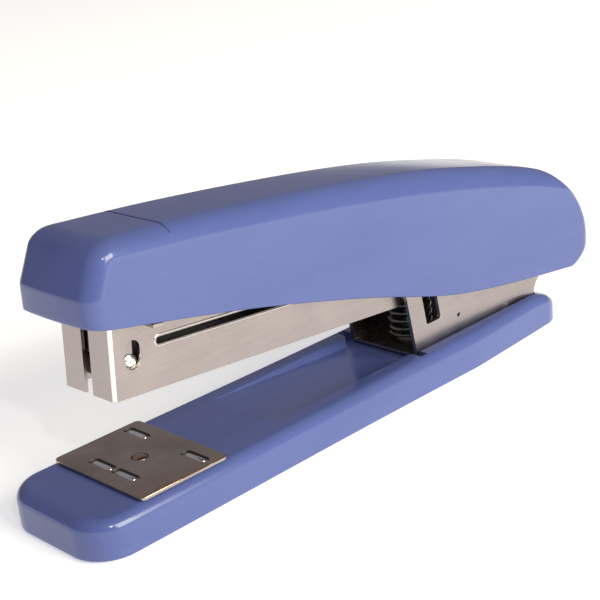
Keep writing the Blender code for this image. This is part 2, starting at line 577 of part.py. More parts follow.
# ---- magazine -------------------------------------------------------------------------------
def build_magazine():
    rear = -REACH + DEEP_LENGTH
    side = rounded([(-REACH, -MAGAZINE_DEPTH, 0.3 * mm), (rear, -MAGAZINE_DEPTH, 1.8 * mm),
                    (rear + 1 * mm, -SHALLOW_DEPTH, 0.6 * mm), (-12 * mm, -SHALLOW_DEPTH, 4 * mm),
                    (-2 * mm, -MAGAZINE_EAR_DEPTH, 3 * mm), (MAGAZINE_EAR, -MAGAZINE_EAR_DEPTH, 4 * mm),
                    (MAGAZINE_EAR, MAGAZINE_RIM, 4 * mm),
                    (-REACH + NOSE_LENGTH + 3 * mm, MAGAZINE_RIM, 2 * mm),
                    (-REACH + NOSE_LENGTH, NOSE_RIM, 2 * mm), (-REACH, NOSE_RIM, 0.3 * mm)])
    magazine = piece("magazine", prism(side, -HALF_MAGAZINE, HALF_MAGAZINE), MAGAZINE, NICKEL)
    inside = MAGAZINE_INSIDE
    floor = -MAGAZINE_DEPTH + SHEET
    seat = -SHALLOW_DEPTH + SHEET
    seat_rear = rear + SEAT_LENGTH
    cut(magazine,
        # open from the nose to the tail above the floor of the deep part, and above the spring seat behind it
        box(-REACH + NOSE_SHEET, rear + SHEET, -inside, inside, floor, 1),
        box(rear, 1, -inside, inside, seat, 1),
        box(seat_rear, 1, -inside, inside, -1, 1),
        # open underside behind the nose, where the staples leave, and the slot in the nose
        box(-REACH + NOSE_SHEET, -REACH + NOSE_OPENING, -inside, inside, -1, 0),
        box(-REACH - 1 * mm, -REACH + 2 * mm, -NOSE_SLOT / 2, NOSE_SLOT / 2, -1, 1))
    start, low, end_radius = -REACH + BEAD_START, BEAD_LEVEL - BEAD_HEIGHT, BEAD_HEIGHT * 0.45
    slot = rounded([(start, low, end_radius), (start + BEAD_LENGTH, low, end_radius),
                    (start + BEAD_LENGTH, BEAD_LEVEL, end_radius), (start, BEAD_LEVEL, end_radius)], 4)
    eye = [(-REACH + NOSE_WINDOW + side_x * NOSE_WINDOW_WIDTH / 2, z, NOSE_WINDOW_WIDTH * 0.48)
           for side_x, z in ((-1, NOSE_WINDOW_LOW), (1, NOSE_WINDOW_LOW), (1, NOSE_WINDOW_HIGH),
                             (-1, NOSE_WINDOW_HIGH))]
    cut(magazine, prism(slot, -HALF_BASE, HALF_BASE), prism(rounded(eye, 6), -HALF_BASE, HALF_BASE),
        round_bar(0, 0, PIN_RADIUS + RUNNING, -HALF_BASE, HALF_BASE, "Y"))
    for x in RAIL_RIVETS:
        cut(magazine, round_bar(x, 0, RAIL_RIVET_RADIUS + RUNNING, -2 * MAGAZINE_DEPTH, RAIL_FOOT, "Z", 14))


def build_rail():
    """Inner rail that the staples sit astride: a channel upside down, with a slot for the pusher."""
    top, foot = -RAIL_TOP, RAIL_FOOT
    inner = HALF_RAIL - RAIL_SHEET
    front_foot = foot + RAIL_STEP
    side = rounded([(RAIL_FRONT, front_foot, 0.3 * mm), (-REACH + NOSE_OPENING - 0.5 * mm, front_foot, 0),
                    (-REACH + NOSE_OPENING + 1 * mm, foot, 0), (RAIL_REAR, foot, 0),
                    (RAIL_REAR, top, 0.4 * mm), (RAIL_FRONT, top, 0.4 * mm)], 3)
    rail = piece("staple_rail", prism(side, -HALF_RAIL, HALF_RAIL), MAGAZINE, NICKEL)
    hollow_front, hollow_rear = RAIL_FRONT + RAIL_SHEET, RAIL_REAR - RAIL_SHEET
    bridge = foot + RAIL_BRIDGE
    room = RAIL_RIVET_ROOM
    cut(rail, box(hollow_front, hollow_rear, -inner, inner, bridge, top - RAIL_SHEET),
        box(hollow_front, RAIL_RIVETS[0] - room, -inner, inner, -1, bridge + 1 * mm),
        box(RAIL_RIVETS[0] + room, RAIL_RIVETS[1] - room, -inner, inner, -1, bridge + 1 * mm),
        box(RAIL_FRONT + room, RAIL_REAR - room, -RAIL_SLOT / 2, RAIL_SLOT / 2, top - 2 * RAIL_SHEET, 1),
        round_bar(0, -ROD_DEPTH, ROD_RADIUS + RUNNING, -1, 0, "X", 16))
    for i, x in enumerate(RAIL_RIVETS):
        cut(rail, round_bar(x, 0, RAIL_RIVET_RADIUS + RUNNING, foot - 1 * mm, bridge + 0.5 * mm, "Z", 14))
        low, high = -MAGAZINE_DEPTH + 0.1 * mm, RIVET_CROWN
        shank = round_bar(x, 0, RAIL_RIVET_RADIUS, low, high, "Z", 14)
        made = piece(f"rail_rivet_{i + 1}", shank, MAGAZINE, NICKEL)
        join(made, round_bar(x, 0, RAIL_RIVET_RADIUS * 1.7, bridge + GAP, high, "Z", 14))
    rear = RAIL_REAR + GAP
    shank = round_bar(0, -ROD_DEPTH, ROD_RADIUS, RAIL_FRONT + RUNNING, rear + ROD_HEAD, "X", 16)
    rod = piece("pusher_rod", shank, MAGAZINE, NICKEL)
    join(rod, round_bar(0, -ROD_DEPTH, ROD_RADIUS * 1.8, rear, rear + ROD_HEAD, "X", 16))


def build_pusher():
    """Saddle on the rail, with an eye that slides on the rod inside it. Measured from the rail's front."""
    low = -ROD_DEPTH - PUSHER_LEG
    crown = -RAIL_TOP + GAP
    legs_front = DRIVER_EAR + 1 * mm
    saddle_half = HALF_RAIL - RUNNING
    saddle = piece("pusher", box(0, PUSHER_LENGTH, -saddle_half, saddle_half, crown, crown + PUSHER_SHEET),
                   PUSHER, NICKEL)
    join(saddle, box(legs_front, PUSHER_LENGTH, -LEG_OUTER, LEG_OUTER, crown, crown + PUSHER_SHEET))
    for side in (-1, 1):
        inner, outer = sorted((side * LEG_INNER, side * LEG_OUTER))
        join(saddle, box(legs_front, PUSHER_LENGTH, inner, outer, low, crown + PUSHER_SHEET / 2))
    # a raised front lip, the neck through the rail's slot and the eye on the rod
    neck = RAIL_SLOT / 2 - GAP
    join(saddle, box(0, PUSHER_SHEET, -saddle_half, saddle_half, crown, crown + PUSHER_LIP),
         box(*PUSHER_NECK, -neck, neck, -ROD_DEPTH, crown + PUSHER_SHEET / 2),
         round_bar(0, -ROD_DEPTH, PUSHER_EYE, *PUSHER_NECK, "X", 16))
    cut(saddle, round_bar(0, -ROD_DEPTH, ROD_RADIUS + RUNNING, 0, PUSHER_LENGTH, "X", 16))
    end_room = GAP + 2 * PUSHER_SPRING_WIRE
    start, end = RAIL_FRONT + PUSHER_NECK[1] + end_room, RAIL_REAR - RAIL_SHEET - end_room
    coil = (ROD_RADIUS + ROD_DEPTH - RAIL_TOP - RAIL_SHEET) / 2
    wire("pusher_spring", helix(coil, start, end, PUSHER_SPRING_TURNS,
                                lambda a, b, h: (h, a, -ROD_DEPTH + b), 8), PUSHER_SPRING_WIRE, MAGAZINE)


# ---- cover ----------------------------------------------------------------------------------
def through(points, share):
    """Height at a share of a length, on a smooth line through a few (share, height) points."""
    for i in range(len(points) - 1):
        if share <= points[i + 1][0] or i == len(points) - 2:
            break
    slopes = [(points[k + 1][1] - points[k][1]) / (points[k + 1][0] - points[k][0])
              for k in range(len(points) - 1)]

    def slope(k):
        if k in (0, len(points) - 1):
            return slopes[min(k, len(slopes) - 1)]
        return (slopes[k - 1] + slopes[k]) / 2
    (start, low), (end, high) = points[i], points[i + 1]
    run = end - start
    t = (share - start) / run
    return (low * (1 + 2 * t) * (1 - t) ** 2 + high * t * t * (3 - 2 * t)
            + run * slope(i) * t * (1 - t) ** 2 - run * slope(i + 1) * t * t * (1 - t))


def cover_share(x):
    return (x + COVER_REACH) / (COVER_REACH + COVER_TAIL)


def cover_front(share):
    """Front of the cover at a share of its height: an upright lip, then a face that leans back."""
    if share < COVER_LIP:
        return -COVER_REACH - LIP_LEAN * share / COVER_LIP
    return -COVER_REACH - LIP_LEAN + FACE_LEAN * (share - COVER_LIP) / (1 - COVER_LIP)


def cover_rear(share):
    """Rear end of the cover at a share of its height: fullest low down, rounding over at the top."""
    if share < TAIL_FULLEST:
        return COVER_TAIL - TAIL_TUCK * (1 - share / TAIL_FULLEST) ** 2
    return COVER_TAIL - TAIL_SWEEP * ((share - TAIL_FULLEST) / (1 - TAIL_FULLEST)) ** 2.7


def cover_ring(share, inset, drop):
    """One ring of the cover at a share of its height, drawn in by inset and lowered by drop."""
    half = HALF_COVER - COVER_TAPER * share - inset
    plan = half_outline(cover_front(share) + inset, cover_rear(share) - inset, half, half,
                        max(COVER_FRONT_RADIUS - min(inset, 2 * mm), 1.2 * mm),
                        max(COVER_REAR_RADIUS - min(inset, 2 * mm), 1.2 * mm), bow=COVER_BOW)

    def height(x):
        low = through(COVER_EDGE, cover_share(x))
        top = through(COVER_CROWN, cover_share(x)) - drop
        return low + (top - low) * share
    return ring(plan, height)


def build_cover():
    outer, inner = [], []
    fillet_share = COVER_TOP_FILLET / COVER_CROWN[2][1]
    for share in (0, 0.08, 0.16, TAIL_FULLEST, COVER_LIP, 0.44, 0.55, 0.66):
        outer.append(cover_ring(share, 0, 0))
        inner.append(cover_ring(share, COVER_WALL, COVER_WALL))
    for i in range(1, 8):
        a = pi / 2 * i / 7
        share = 1 - fillet_share * (1 - sin(a))
        outer.append(cover_ring(share, COVER_TOP_FILLET * (1 - cos(a)), 0))
        inside_fillet = COVER_TOP_FILLET - COVER_WALL
        inner.append(cover_ring(share, COVER_WALL + inside_fillet * (1 - cos(a)), COVER_WALL))
    cover = piece("cover", stack(list(reversed(outer)) + inner[1:]), COVER, BLUE)
    # two ribs under the roof, which stand on the steel frame
    for share in RIB_SHARES:
        x = -COVER_REACH * share
        roof = through(COVER_CROWN, cover_share(x)) - COVER_WALL / 2
        rib_front, rib_rear = x - RIB_THICKNESS / 2, x + RIB_THICKNESS / 2
        join(cover, box(rib_front, rib_rear, -RIB_HALF, RIB_HALF, frame_top(x) + GAP, roof))
    # the tail is open low down, so that it passes the bracket when the cover is swung up
    cut(cover, box(0, COVER_TAIL + 1 * mm, -COVER_INNER, COVER_INNER, -HINGE_HEIGHT, TAIL_NOTCH_TOP))


def frame_top(x):
    """Top of the steel frame, which slopes down towards the bend with the roof above it."""
    at_bend = through(COVER_CROWN, cover_share(-FRAME_BEND)) - COVER_WALL - FRAME_ROOM
    return FRAME_TOP - (FRAME_TOP - at_bend) * (x - FRAME_FRONT) / (-FRAME_BEND - FRAME_FRONT)


def build_frame():
    """Steel frame under the cover: a channel upside down that carries the driver and turns on the pin."""
    front, bend, ear = FRAME_FRONT, -FRAME_BEND, FRAME_EAR
    side = [(front, FRAME_SKIRT, 0.5 * mm), (bend - 12 * mm, FRAME_SKIRT, 8 * mm),
            (bend + ear, -FRAME_EAR_DEPTH, 5 * mm), (ear, -FRAME_EAR_DEPTH, 4 * mm), (ear, ear * 1.4, 4 * mm),
            (bend, frame_top(bend), 5 * mm), (front, FRAME_TOP, 1 * mm)]
    under = [(front - 1 * mm, -MAGAZINE_DEPTH), (2 * bend, -MAGAZINE_DEPTH), (2 * bend, -HINGE_HEIGHT),
             (HINGE_HEIGHT, -HINGE_HEIGHT), (HINGE_HEIGHT, FRAME_TOP * 2), (bend, FRAME_TOP * 2),
             (bend, frame_top(bend) - FRAME_SHEET), (front - 1 * mm, frame_top(front - 1 * mm) - FRAME_SHEET)]
    made = piece("handle_frame", prism(rounded(side), -FRAME_OUTER, FRAME_OUTER), COVER, NICKEL)
    cut(made, prism(under, -FRAME_INNER, FRAME_INNER),
        round_bar(0, 0, PIN_RADIUS + RUNNING, -HALF_BASE, HALF_BASE, "Y"),
        round_bar(DRIVER_RIVET, 0, RAIL_RIVET_RADIUS + RUNNING, 0, FRAME_TOP * 2, "Z", 14))
    edge = through(COVER_EDGE, cover_share(CLIP_PLACE)) - GAP
    clip_front, clip_rear = CLIP_PLACE - CLIP_WIDTH / 2, CLIP_PLACE + CLIP_WIDTH / 2
    for side_y in (-1, 1):
        inner, outer = sorted((side_y * FRAME_INNER, side_y * FRAME_OUTER))
        tip_in, tip_out = sorted((side_y * FRAME_INNER, side_y * (HALF_COVER - 2 * GAP)))
        join(made, box(clip_front, clip_rear, inner, outer, edge - CLIP_THICKNESS, FRAME_SKIRT + 1 * mm),
             box(clip_front, clip_rear, tip_in, tip_out, edge - CLIP_THICKNESS, edge))
    return made


def build_driver():
    """Driver blade with side ears, hung from the front of the steel frame by one rivet."""
    tip = -RAIL_TOP + TIP_ABOVE_RAIL - REACH * sin(STROKE / 2)
    under = frame_top(DRIVER_RIVET) - FRAME_SHEET - GAP
    top = under - (frame_top(FRAME_FRONT) - frame_top(DRIVER_RIVET))
    back = DRIVER_FRONT + DRIVER_THICKNESS
    blade = piece("driver", box(DRIVER_FRONT, back, -LEG_OUTER, LEG_OUTER, tip, top), COVER, CHROME)
    for side_y in (-1, 1):
        inner, outer = sorted((side_y * LEG_INNER, side_y * LEG_OUTER))
        join(blade, box(back - 0.1 * mm, DRIVER_FRONT + DRIVER_EAR, inner, outer, tip,
                        tip + DRIVER_EAR_HEIGHT))
    join(blade, box(back - 0.1 * mm, DRIVER_FRONT + DRIVER_TAB, -DRIVER_TAB_HALF, DRIVER_TAB_HALF,
                    top - DRIVER_THICKNESS, top))
    cut(blade, round_bar(DRIVER_RIVET, 0, RAIL_RIVET_RADIUS + RUNNING, 0, 1, "Z", 14))
    rivet("driver_rivet", DRIVER_RIVET, 0, top - DRIVER_THICKNESS, frame_top(DRIVER_RIVET),
          RAIL_RIVET_RADIUS, DRIVER_RIVET_HEAD, COVER)


# ---- spring between magazine and cover ------------------------------------------------------
def build_cover_spring():
    """Coil round the hinge pin: one arm on the magazine's spring seat, the other under the frame."""
    thick = COVER_SPRING_WIRE
    coil = PIN_RADIUS + RUNNING + SIDE_PLAY + thick
    half = COVER_SPRING_TURNS * 2.3 * thick / 2
    seat = -SHALLOW_DEPTH + SHEET + GAP + thick
    low_end, high_end = -COVER_SPRING_ARMS[0], -COVER_SPRING_ARMS[1]
    under = frame_top(high_end) - FRAME_SHEET - GAP - thick - high_end * sin(STROKE / 2)
    steps = COVER_SPRING_TURNS * 14
    points = [(low_end, half, seat), (low_end / 2, half, seat)]
    for i in range(steps + 8):
        angle = -pi / 2 + 2 * pi * i / 14
        points.append((coil * cos(angle), half - 2 * half * i / (steps + 7), coil * sin(angle)))
    points += [(high_end / 2, -half, (coil + under) / 2), (high_end, -half, under)]
    wire("cover_spring", points, thick, MAGAZINE)


# ---- anvil ----------------------------------------------------------------------------------
def landing():
    """Where the staple lands, ahead of the anvil's own axis, with the magazine pressed down."""
    closed = asin((HINGE_HEIGHT - ANVIL_TOP) / hypot(REACH, MAGAZINE_DEPTH)) - atan2(MAGAZINE_DEPTH, REACH)
    x = DRIVER_FRONT + DRIVER_THICKNESS / 2
    return ANVIL_STATION - (HINGE_STATION + x * cos(closed) + MAGAZINE_DEPTH * sin(closed))


def groove(x, y):
    """A shallow oval trough in the anvil's top, across the stapler."""
    shape = bmesh.new()
    bmesh.ops.create_uvsphere(shape, u_segments=20, v_segments=10, radius=1)
    bmesh.ops.scale(shape, verts=shape.verts, vec=(GROOVE_WIDTH / 2, GROOVE_LENGTH / 2, GROOVE_DEPTH))
    bmesh.ops.translate(shape, verts=shape.verts, vec=(x, y, ANVIL_TOP + 0.02 * mm))
    return shape


def build_anvil():
    half_x, half_y = ANVIL_LENGTH / 2, ANVIL_WIDTH / 2
    outline = rounded([(-half_x, -half_y, ANVIL_CORNER), (half_x, -half_y, ANVIL_CORNER),
                       (half_x, half_y, ANVIL_CORNER), (-half_x, half_y, ANVIL_CORNER)])
    plate = piece("anvil_plate", prism(outline, ANVIL_UNDERSIDE, ANVIL_TOP, "Z"), ANVIL, CHROME)
    leg = HALF_RAIL + STAPLE_WIRE / 2
    closed = leg + 1 * mm - GROOVE_LENGTH / 2
    pinned = leg - 1 * mm + GROOVE_LENGTH / 2
    for side_y in (-1, 1):
        cut(plate, groove(-landing(), side_y * closed), groove(landing(), side_y * pinned))
    head_seat = ANVIL_UNDERSIDE + ANVIL_THICKNESS / 3
    cut(plate, round_bar(0, 0, SHAFT_RADIUS + RUNNING, 0, 1, "Z"),
        round_bar(0, 0, SHAFT_RADIUS + SHAFT_HEAD + RUNNING, head_seat, 1, "Z"))

    foot = BUTTON_HEIGHT - GAP - SHAFT_FOOT
    shaft = piece("anvil_shaft", round_bar(0, 0, SHAFT_RADIUS, foot, ANVIL_TOP, "Z"), ANVIL, CHROME)
    join(shaft, round_bar(0, 0, SHAFT_RADIUS + SHAFT_HEAD, head_seat + 0.15 * mm, ANVIL_TOP + 0.05 * mm, "Z"),
         round_bar(0, 0, SHAFT_RADIUS + SHAFT_HEAD, foot, BUTTON_HEIGHT - GAP, "Z"))

    button_top = BUTTON_HEIGHT + BUTTON_THICKNESS
    button = piece("anvil_button", round_bar(0, 0, BUTTON_RADIUS, BUTTON_HEIGHT, button_top, "Z", 40),
                   ANVIL, BLACK_PLASTIC)
    cut(button, round_bar(0, 0, SHAFT_RADIUS + RUNNING, 0, 1, "Z"))
    thick = ANVIL_SPRING_WIRE
    wire("anvil_spring", helix(SHAFT_RADIUS + ANVIL_SPRING_ROOM, button_top + GAP + thick,
                               BASE_TOP - BASE_SKIN - GAP - thick, ANVIL_SPRING_TURNS,
                               lambda a, b, h: (a, b, h)), thick, ANVIL)


def main():
    build_base()
    build_stiffener()
    build_sole()
    build_bracket()
    build_lift_spring()
    build_magazine()
    build_rail()
    build_pusher()
    build_cover()
    build_frame()
    build_driver()
    build_cover_spring()
    build_anvil()


main()
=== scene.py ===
"""A desk stapler in periwinkle-blue plastic and nickel-plated steel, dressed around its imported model.

The sections follow the stapler as it is put together on the bench: base, bracket, magazine with its rail
and pusher, anvil, and last the cover with its steel frame.
"""
import bmesh
import bpy
from math import atan2, cos, exp, pi, radians, sin
from mathutils import Matrix, Quaternion, Vector


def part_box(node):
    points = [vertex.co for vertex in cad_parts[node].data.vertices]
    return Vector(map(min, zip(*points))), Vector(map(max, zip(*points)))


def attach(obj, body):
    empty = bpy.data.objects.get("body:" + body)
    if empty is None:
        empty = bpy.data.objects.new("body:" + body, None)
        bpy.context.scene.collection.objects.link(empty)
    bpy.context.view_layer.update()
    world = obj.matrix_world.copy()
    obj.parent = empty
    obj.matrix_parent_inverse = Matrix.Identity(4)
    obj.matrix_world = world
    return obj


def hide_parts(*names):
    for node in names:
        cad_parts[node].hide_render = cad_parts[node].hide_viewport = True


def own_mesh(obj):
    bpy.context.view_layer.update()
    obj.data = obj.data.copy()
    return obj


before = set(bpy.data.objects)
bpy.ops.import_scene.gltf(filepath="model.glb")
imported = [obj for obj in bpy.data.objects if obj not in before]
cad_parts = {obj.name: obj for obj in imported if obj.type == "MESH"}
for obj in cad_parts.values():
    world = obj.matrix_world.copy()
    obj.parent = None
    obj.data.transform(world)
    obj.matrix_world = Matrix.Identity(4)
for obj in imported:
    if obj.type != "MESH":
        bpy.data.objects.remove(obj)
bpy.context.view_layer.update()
mm = 0.001

# ==== base shell =============================================================================
# The base is one injection moulding in periwinkle ABS, with a polished skin, a channel that ramps down
# to the bracket, and a notch across both rims. Its underside is an open hollow that the sole closes.
BASE_LOW, BASE_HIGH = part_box("base_shell")
BASE_FRONT, BASE_TOP, BASE_FOOT, BASE_HALF = BASE_LOW.x, BASE_HIGH.z, BASE_LOW.z, BASE_HIGH.y
BASE_REAR_HALF = BASE_HALF - 2.1 * mm
BASE_REAR_TOP = 5 * mm
BASE_FALL = 13 * mm
BASE_FILLET, BASE_FOOT_FILLET = 2.6 * mm, 0.7 * mm
BRACKET_FRONT = BASE_FRONT + 93.2 * mm
CHANNEL_DEPTH, CHANNEL_LIP = 2.3 * mm, 0.55 * mm
CHANNEL_HALF = 10.4 * mm
RAMP_FRONT, RAMP_END = BASE_FRONT + 49.8 * mm, BASE_FRONT + 88.8 * mm
CHANNEL_REAR = BASE_FRONT + 137.5 * mm
ANVIL_X = BASE_FRONT + 22.7 * mm
SHAFT_HOLE, RIVET_HOLE = 1.4 * mm, 1.7 * mm
BASE_WALL, BASE_ROOF = 2.2 * mm, 1.7 * mm
NOTCH_LENGTH, NOTCH_HALF, NOTCH_CORNER = 2.2 * mm, 13 * mm, 0.4 * mm


def arc(centre, radius, start, end, steps):
    """Points along a circle, from one angle to another."""
    angles = [start + (end - start) * i / steps for i in range(steps + 1)]
    return [(centre[0] + radius * cos(a), centre[1] + radius * sin(a)) for a in angles]


def ease(value, start, end):
    """0 before the start, 1 after the end, and a smooth rise between them."""
    share = min(1, max(0, (value - start) / (end - start)))
    return share * share * (3 - 2 * share)


def half_plan(front, rear, half, rear_half, front_radius, rear_radius, bow=0, waist=0, steps=54):
    """The far half of a long rounded plan, from the middle of its front to the middle of its rear."""
    flat = half - front_radius
    points = [(front, flat * i / 8) for i in range(1, 8 if bow else 1)]
    points += arc((front + front_radius, flat), front_radius, pi, pi / 2, 14)
    start, end = front + front_radius, rear - rear_radius
    for i in range(1, steps):
        share = i / steps
        width = half + (rear_half - half) * max(0, share - 0.78) / 0.22
        points.append((start + (end - start) * share, width - waist * sin(pi * share) ** 2))
    points += arc((end, rear_half - rear_radius), rear_radius, pi / 2, 0, 14)
    return [(x - bow * max(0, 1 - (y / half) ** 2) * max(0, 1 - (x - front) / (4 * front_radius)), y)
            for x, y in points]


def whole_ring(half, height):
    """A half plan and its mirror image, each point at its own height."""
    return [(x, y, height(x)) for x, y in half + [(x, -y) for x, y in reversed(half)]]


def lay_up(rings):
    """A skin through rings of equal count, closed across its first and last ring."""
    shape = bmesh.new()
    rows = [[shape.verts.new(p) for p in ring] for ring in rings]
    count = len(rows[0])
    for low, high in zip(rows, rows[1:]):
        for i in range(count):
            j = (i + 1) % count
            shape.faces.new((low[i], low[j], high[j], high[i]))
    for row in (rows[0], rows[-1]):
        for i in range(count // 2 - 1):
            shape.faces.new((row[i], row[i + 1], row[count - 2 - i], row[count - 1 - i]))
    bmesh.ops.recalc_face_normals(shape, faces=shape.faces)
    return shape


def bar(rings):
    """A skin through outlines of equal count, closed by one face at each end."""
    shape = bmesh.new()
    rows = [[shape.verts.new(p) for p in ring] for ring in rings]
    for low, high in zip(rows, rows[1:]):
        for i in range(len(low)):
            j = (i + 1) % len(low)
            shape.faces.new((low[i], low[j], high[j], high[i]))
    shape.faces.new(rows[0])
    shape.faces.new(rows[-1])
    bmesh.ops.recalc_face_normals(shape, faces=shape.faces)
    return shape


def upright(outline, low, high):
    """An outline (x, y) drawn up from one height to another."""
    return bar([[(x, y, z) for x, y in outline] for z in (low, high)])


def disc(x, y, radius, sides=48):
    """A round outline."""
    return arc((x, y), radius, 0, 2 * pi * (sides - 1) / sides, sides - 1)


def made_piece(name, shape, crease=32):
    """A shape as an object: faces outward, smooth up to the crease angle."""
    if shape.calc_volume(signed=True) < 0:
        bmesh.ops.reverse_faces(shape, faces=shape.faces)
    mesh = bpy.data.meshes.new(name)
    shape.to_mesh(mesh)
    shape.free()
    mesh.shade_smooth()
    mesh.set_sharp_from_angle(angle=radians(crease))
    made = bpy.data.objects.new(name, mesh)
    bpy.context.collection.objects.link(made)
    return made


def settle(piece, crease=32):
    """Apply a piece's modifiers, so that its mesh is final."""
    graph = bpy.context.evaluated_depsgraph_get()
    mesh = bpy.data.meshes.new_from_object(piece.evaluated_get(graph))
    piece.modifiers.clear()
    piece.data = mesh
    mesh.shade_smooth()
    mesh.set_sharp_from_angle(angle=radians(crease))
    return piece


def carve(piece, *shapes):
    """Cut shapes out of a piece, one after another."""
    for shape in shapes:
        tool = made_piece(piece.name + "_tool", shape)
        step = piece.modifiers.new("carve", "BOOLEAN")
        step.operation, step.solver, step.object = "DIFFERENCE", "EXACT", tool
        settle(piece)
        bpy.data.objects.remove(tool)
    return piece


def rounded(corners, steps=6):
    """A closed outline through corners (a, b, radius)."""
    outline = []
    for i, (a, b, radius) in enumerate(corners):
        back, ahead = corners[i - 1], corners[(i + 1) % len(corners)]
        to_back = Vector((back[0] - a, back[1] - b)).normalized()
        to_ahead = Vector((ahead[0] - a, ahead[1] - b)).normalized()
        half_angle = to_back.angle(to_ahead) / 2
        reach = radius / (sin(half_angle) / cos(half_angle))
        middle = Vector((a, b)) + (to_back + to_ahead).normalized() * radius / sin(half_angle)
        start, end = Vector((a, b)) + to_back * reach, Vector((a, b)) + to_ahead * reach
        first, last = atan2(*(start - middle).yx), atan2(*(end - middle).yx)
        turn = (last - first + pi) % (2 * pi) - pi
        outline += arc(tuple(middle), radius, first, first + turn, steps)
    return outline


def base_height(level):
    """Height of the skin at a level, which falls away towards the rear end."""
    def height(x):
        fall = max(0, (x - (BASE_HIGH.x - BASE_FALL)) / BASE_FALL) ** 2
        share = (BASE_REAR_TOP - BASE_FOOT) / (BASE_TOP - BASE_FOOT)
        return BASE_FOOT + (level - BASE_FOOT) * (1 - fall * (1 - share))
    return height


def base_plan(inset):
    """The base's half plan, drawn in by an inset."""
    return half_plan(BASE_FRONT + inset, BASE_HIGH.x - inset, BASE_HALF - inset, BASE_REAR_HALF - inset,
                     max(8.2 * mm - inset, 1 * mm), max(8 * mm - inset, 1 * mm), waist=0.4 * mm)


def channel_tool():
    """What the channel takes out: a ramp, then a flat floor, with lips and corners rounded all along."""
    stations = [RAMP_FRONT + (RAMP_END - RAMP_FRONT) * i / 24 for i in range(25)]
    stations += [BRACKET_FRONT - 3 * mm, BRACKET_FRONT - 2.2 * mm, BRACKET_FRONT - 1.8 * mm,
                 CHANNEL_REAR - 1.6 * mm, CHANNEL_REAR - 0.6 * mm, CHANNEL_REAR]
    rings = []
    for x in stations:
        depth = CHANNEL_DEPTH * min(1, max(0.01, (x - RAMP_FRONT) / (RAMP_END - RAMP_FRONT)))
        half = CHANNEL_HALF - 1 * mm * (1 - ease(x, BRACKET_FRONT - 3 * mm, BRACKET_FRONT - 1.8 * mm))
        half -= 1.6 * mm * max(0, (x - CHANNEL_REAR + 1.6 * mm) / (1.6 * mm)) ** 2
        lip = min(CHANNEL_LIP, depth / 2.2)
        side = [(half + lip * 1.3, BASE_TOP + 2 * mm), (half + lip * 1.3, BASE_TOP + 0.02 * mm)]
        side += arc((half + lip, BASE_TOP - lip), lip, pi / 2, pi, 6)
        side += arc((half - lip, BASE_TOP - depth + lip), lip, 0, -pi / 2, 4)
        rings.append([(x, y, z) for y, z in side + [(-y, z) for y, z in reversed(side)]])
    return bar(rings)


def base_skin():
    """The outside, from its rounded foot up to its rounded rim."""
    rings = [whole_ring(base_plan(BASE_FOOT_FILLET * (1 - sin(a))),
                        base_height(BASE_FOOT + BASE_FOOT_FILLET * (1 - cos(a))))
             for a in (pi / 2 * i / 6 for i in range(7))]
    rings += [whole_ring(base_plan(BASE_FILLET * (1 - cos(a))),
                         base_height(BASE_TOP - BASE_FILLET * (1 - sin(a))))
              for a in (pi / 2 * i / 14 for i in range(15))]
    return lay_up(rings)


def base_hollow():
    """The open underside, whose ceiling follows the channel."""
    def ceiling(x):
        deep = CHANNEL_DEPTH * ease(x, RAMP_FRONT - 12 * mm, RAMP_FRONT + 2 * mm)
        return min(base_height(BASE_TOP)(x), BASE_TOP - deep) - BASE_ROOF
    plan = base_plan(BASE_WALL)
    return lay_up([whole_ring(plan, lambda x: -1 * mm), whole_ring(plan, ceiling)])


base = made_piece("base_moulding", base_skin())
notch = rounded([(BRACKET_FRONT - NOTCH_LENGTH, -NOTCH_HALF, NOTCH_CORNER),
                 (BRACKET_FRONT, -NOTCH_HALF, NOTCH_CORNER),
                 (BRACKET_FRONT, NOTCH_HALF, NOTCH_CORNER),
                 (BRACKET_FRONT - NOTCH_LENGTH, NOTCH_HALF, NOTCH_CORNER)])
rivet_places = [(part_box(f"bracket_rivet_{i}")[0].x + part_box(f"bracket_rivet_{i}")[1].x) / 2 for i in (1, 2)]
carve(base, base_hollow(), channel_tool(), upright(notch, BASE_TOP - CHANNEL_DEPTH, BASE_TOP + 2 * mm),
      upright(disc(ANVIL_X, 0, SHAFT_HOLE), 0, BASE_TOP + 2 * mm),
      *[upright(disc(x, 0, RIVET_HOLE, 24), 0, BASE_TOP) for x in rivet_places])


def node_group(name, inputs, outputs):
    """An empty shader group with named sockets."""
    tree = bpy.data.node_groups.new(name, "ShaderNodeTree")
    for label, value in inputs:
        tree.interface.new_socket(label, in_out="INPUT", socket_type="NodeSocketFloat").default_value = value
    for label in outputs:
        tree.interface.new_socket(label, in_out="OUTPUT", socket_type="NodeSocketFloat")
    return tree, tree.nodes.new("NodeGroupInput").outputs, tree.nodes.new("NodeGroupOutput").inputs


def add(tree, kind, links=(), **settings):
    """A node with its settings, fed by (socket name, source socket) pairs."""
    made = tree.nodes.new(kind)
    for label, value in settings.items():
        if hasattr(made, label):
            setattr(made, label, value)
        else:
            made.inputs[label.replace("_", " ")].default_value = value
    for target, source in links:
        tree.links.new(source, made.inputs[target])
    return made


def ramp(tree, source, *stops):
    """A colour ramp through (position, colour or grey) stops."""
    made = add(tree, "ShaderNodeValToRGB", [("Fac", source)])
    band = made.color_ramp
    while len(band.elements) < len(stops):
        band.elements.new(0.5)
    for element, (position, colour) in zip(band.elements, stops):
        element.position = position
        element.color = (*colour, 1) if isinstance(colour, tuple) else (colour, colour, colour, 1)
    return made.outputs["Color"]


def feed(tree, made, index, value):
    """Link a socket to an input, or set a plain value on it."""
    if isinstance(value, bpy.types.NodeSocket):
        tree.links.new(value, made.inputs[index])
    else:
        made.inputs[index].default_value = (*value, 1) if isinstance(value, tuple) else value


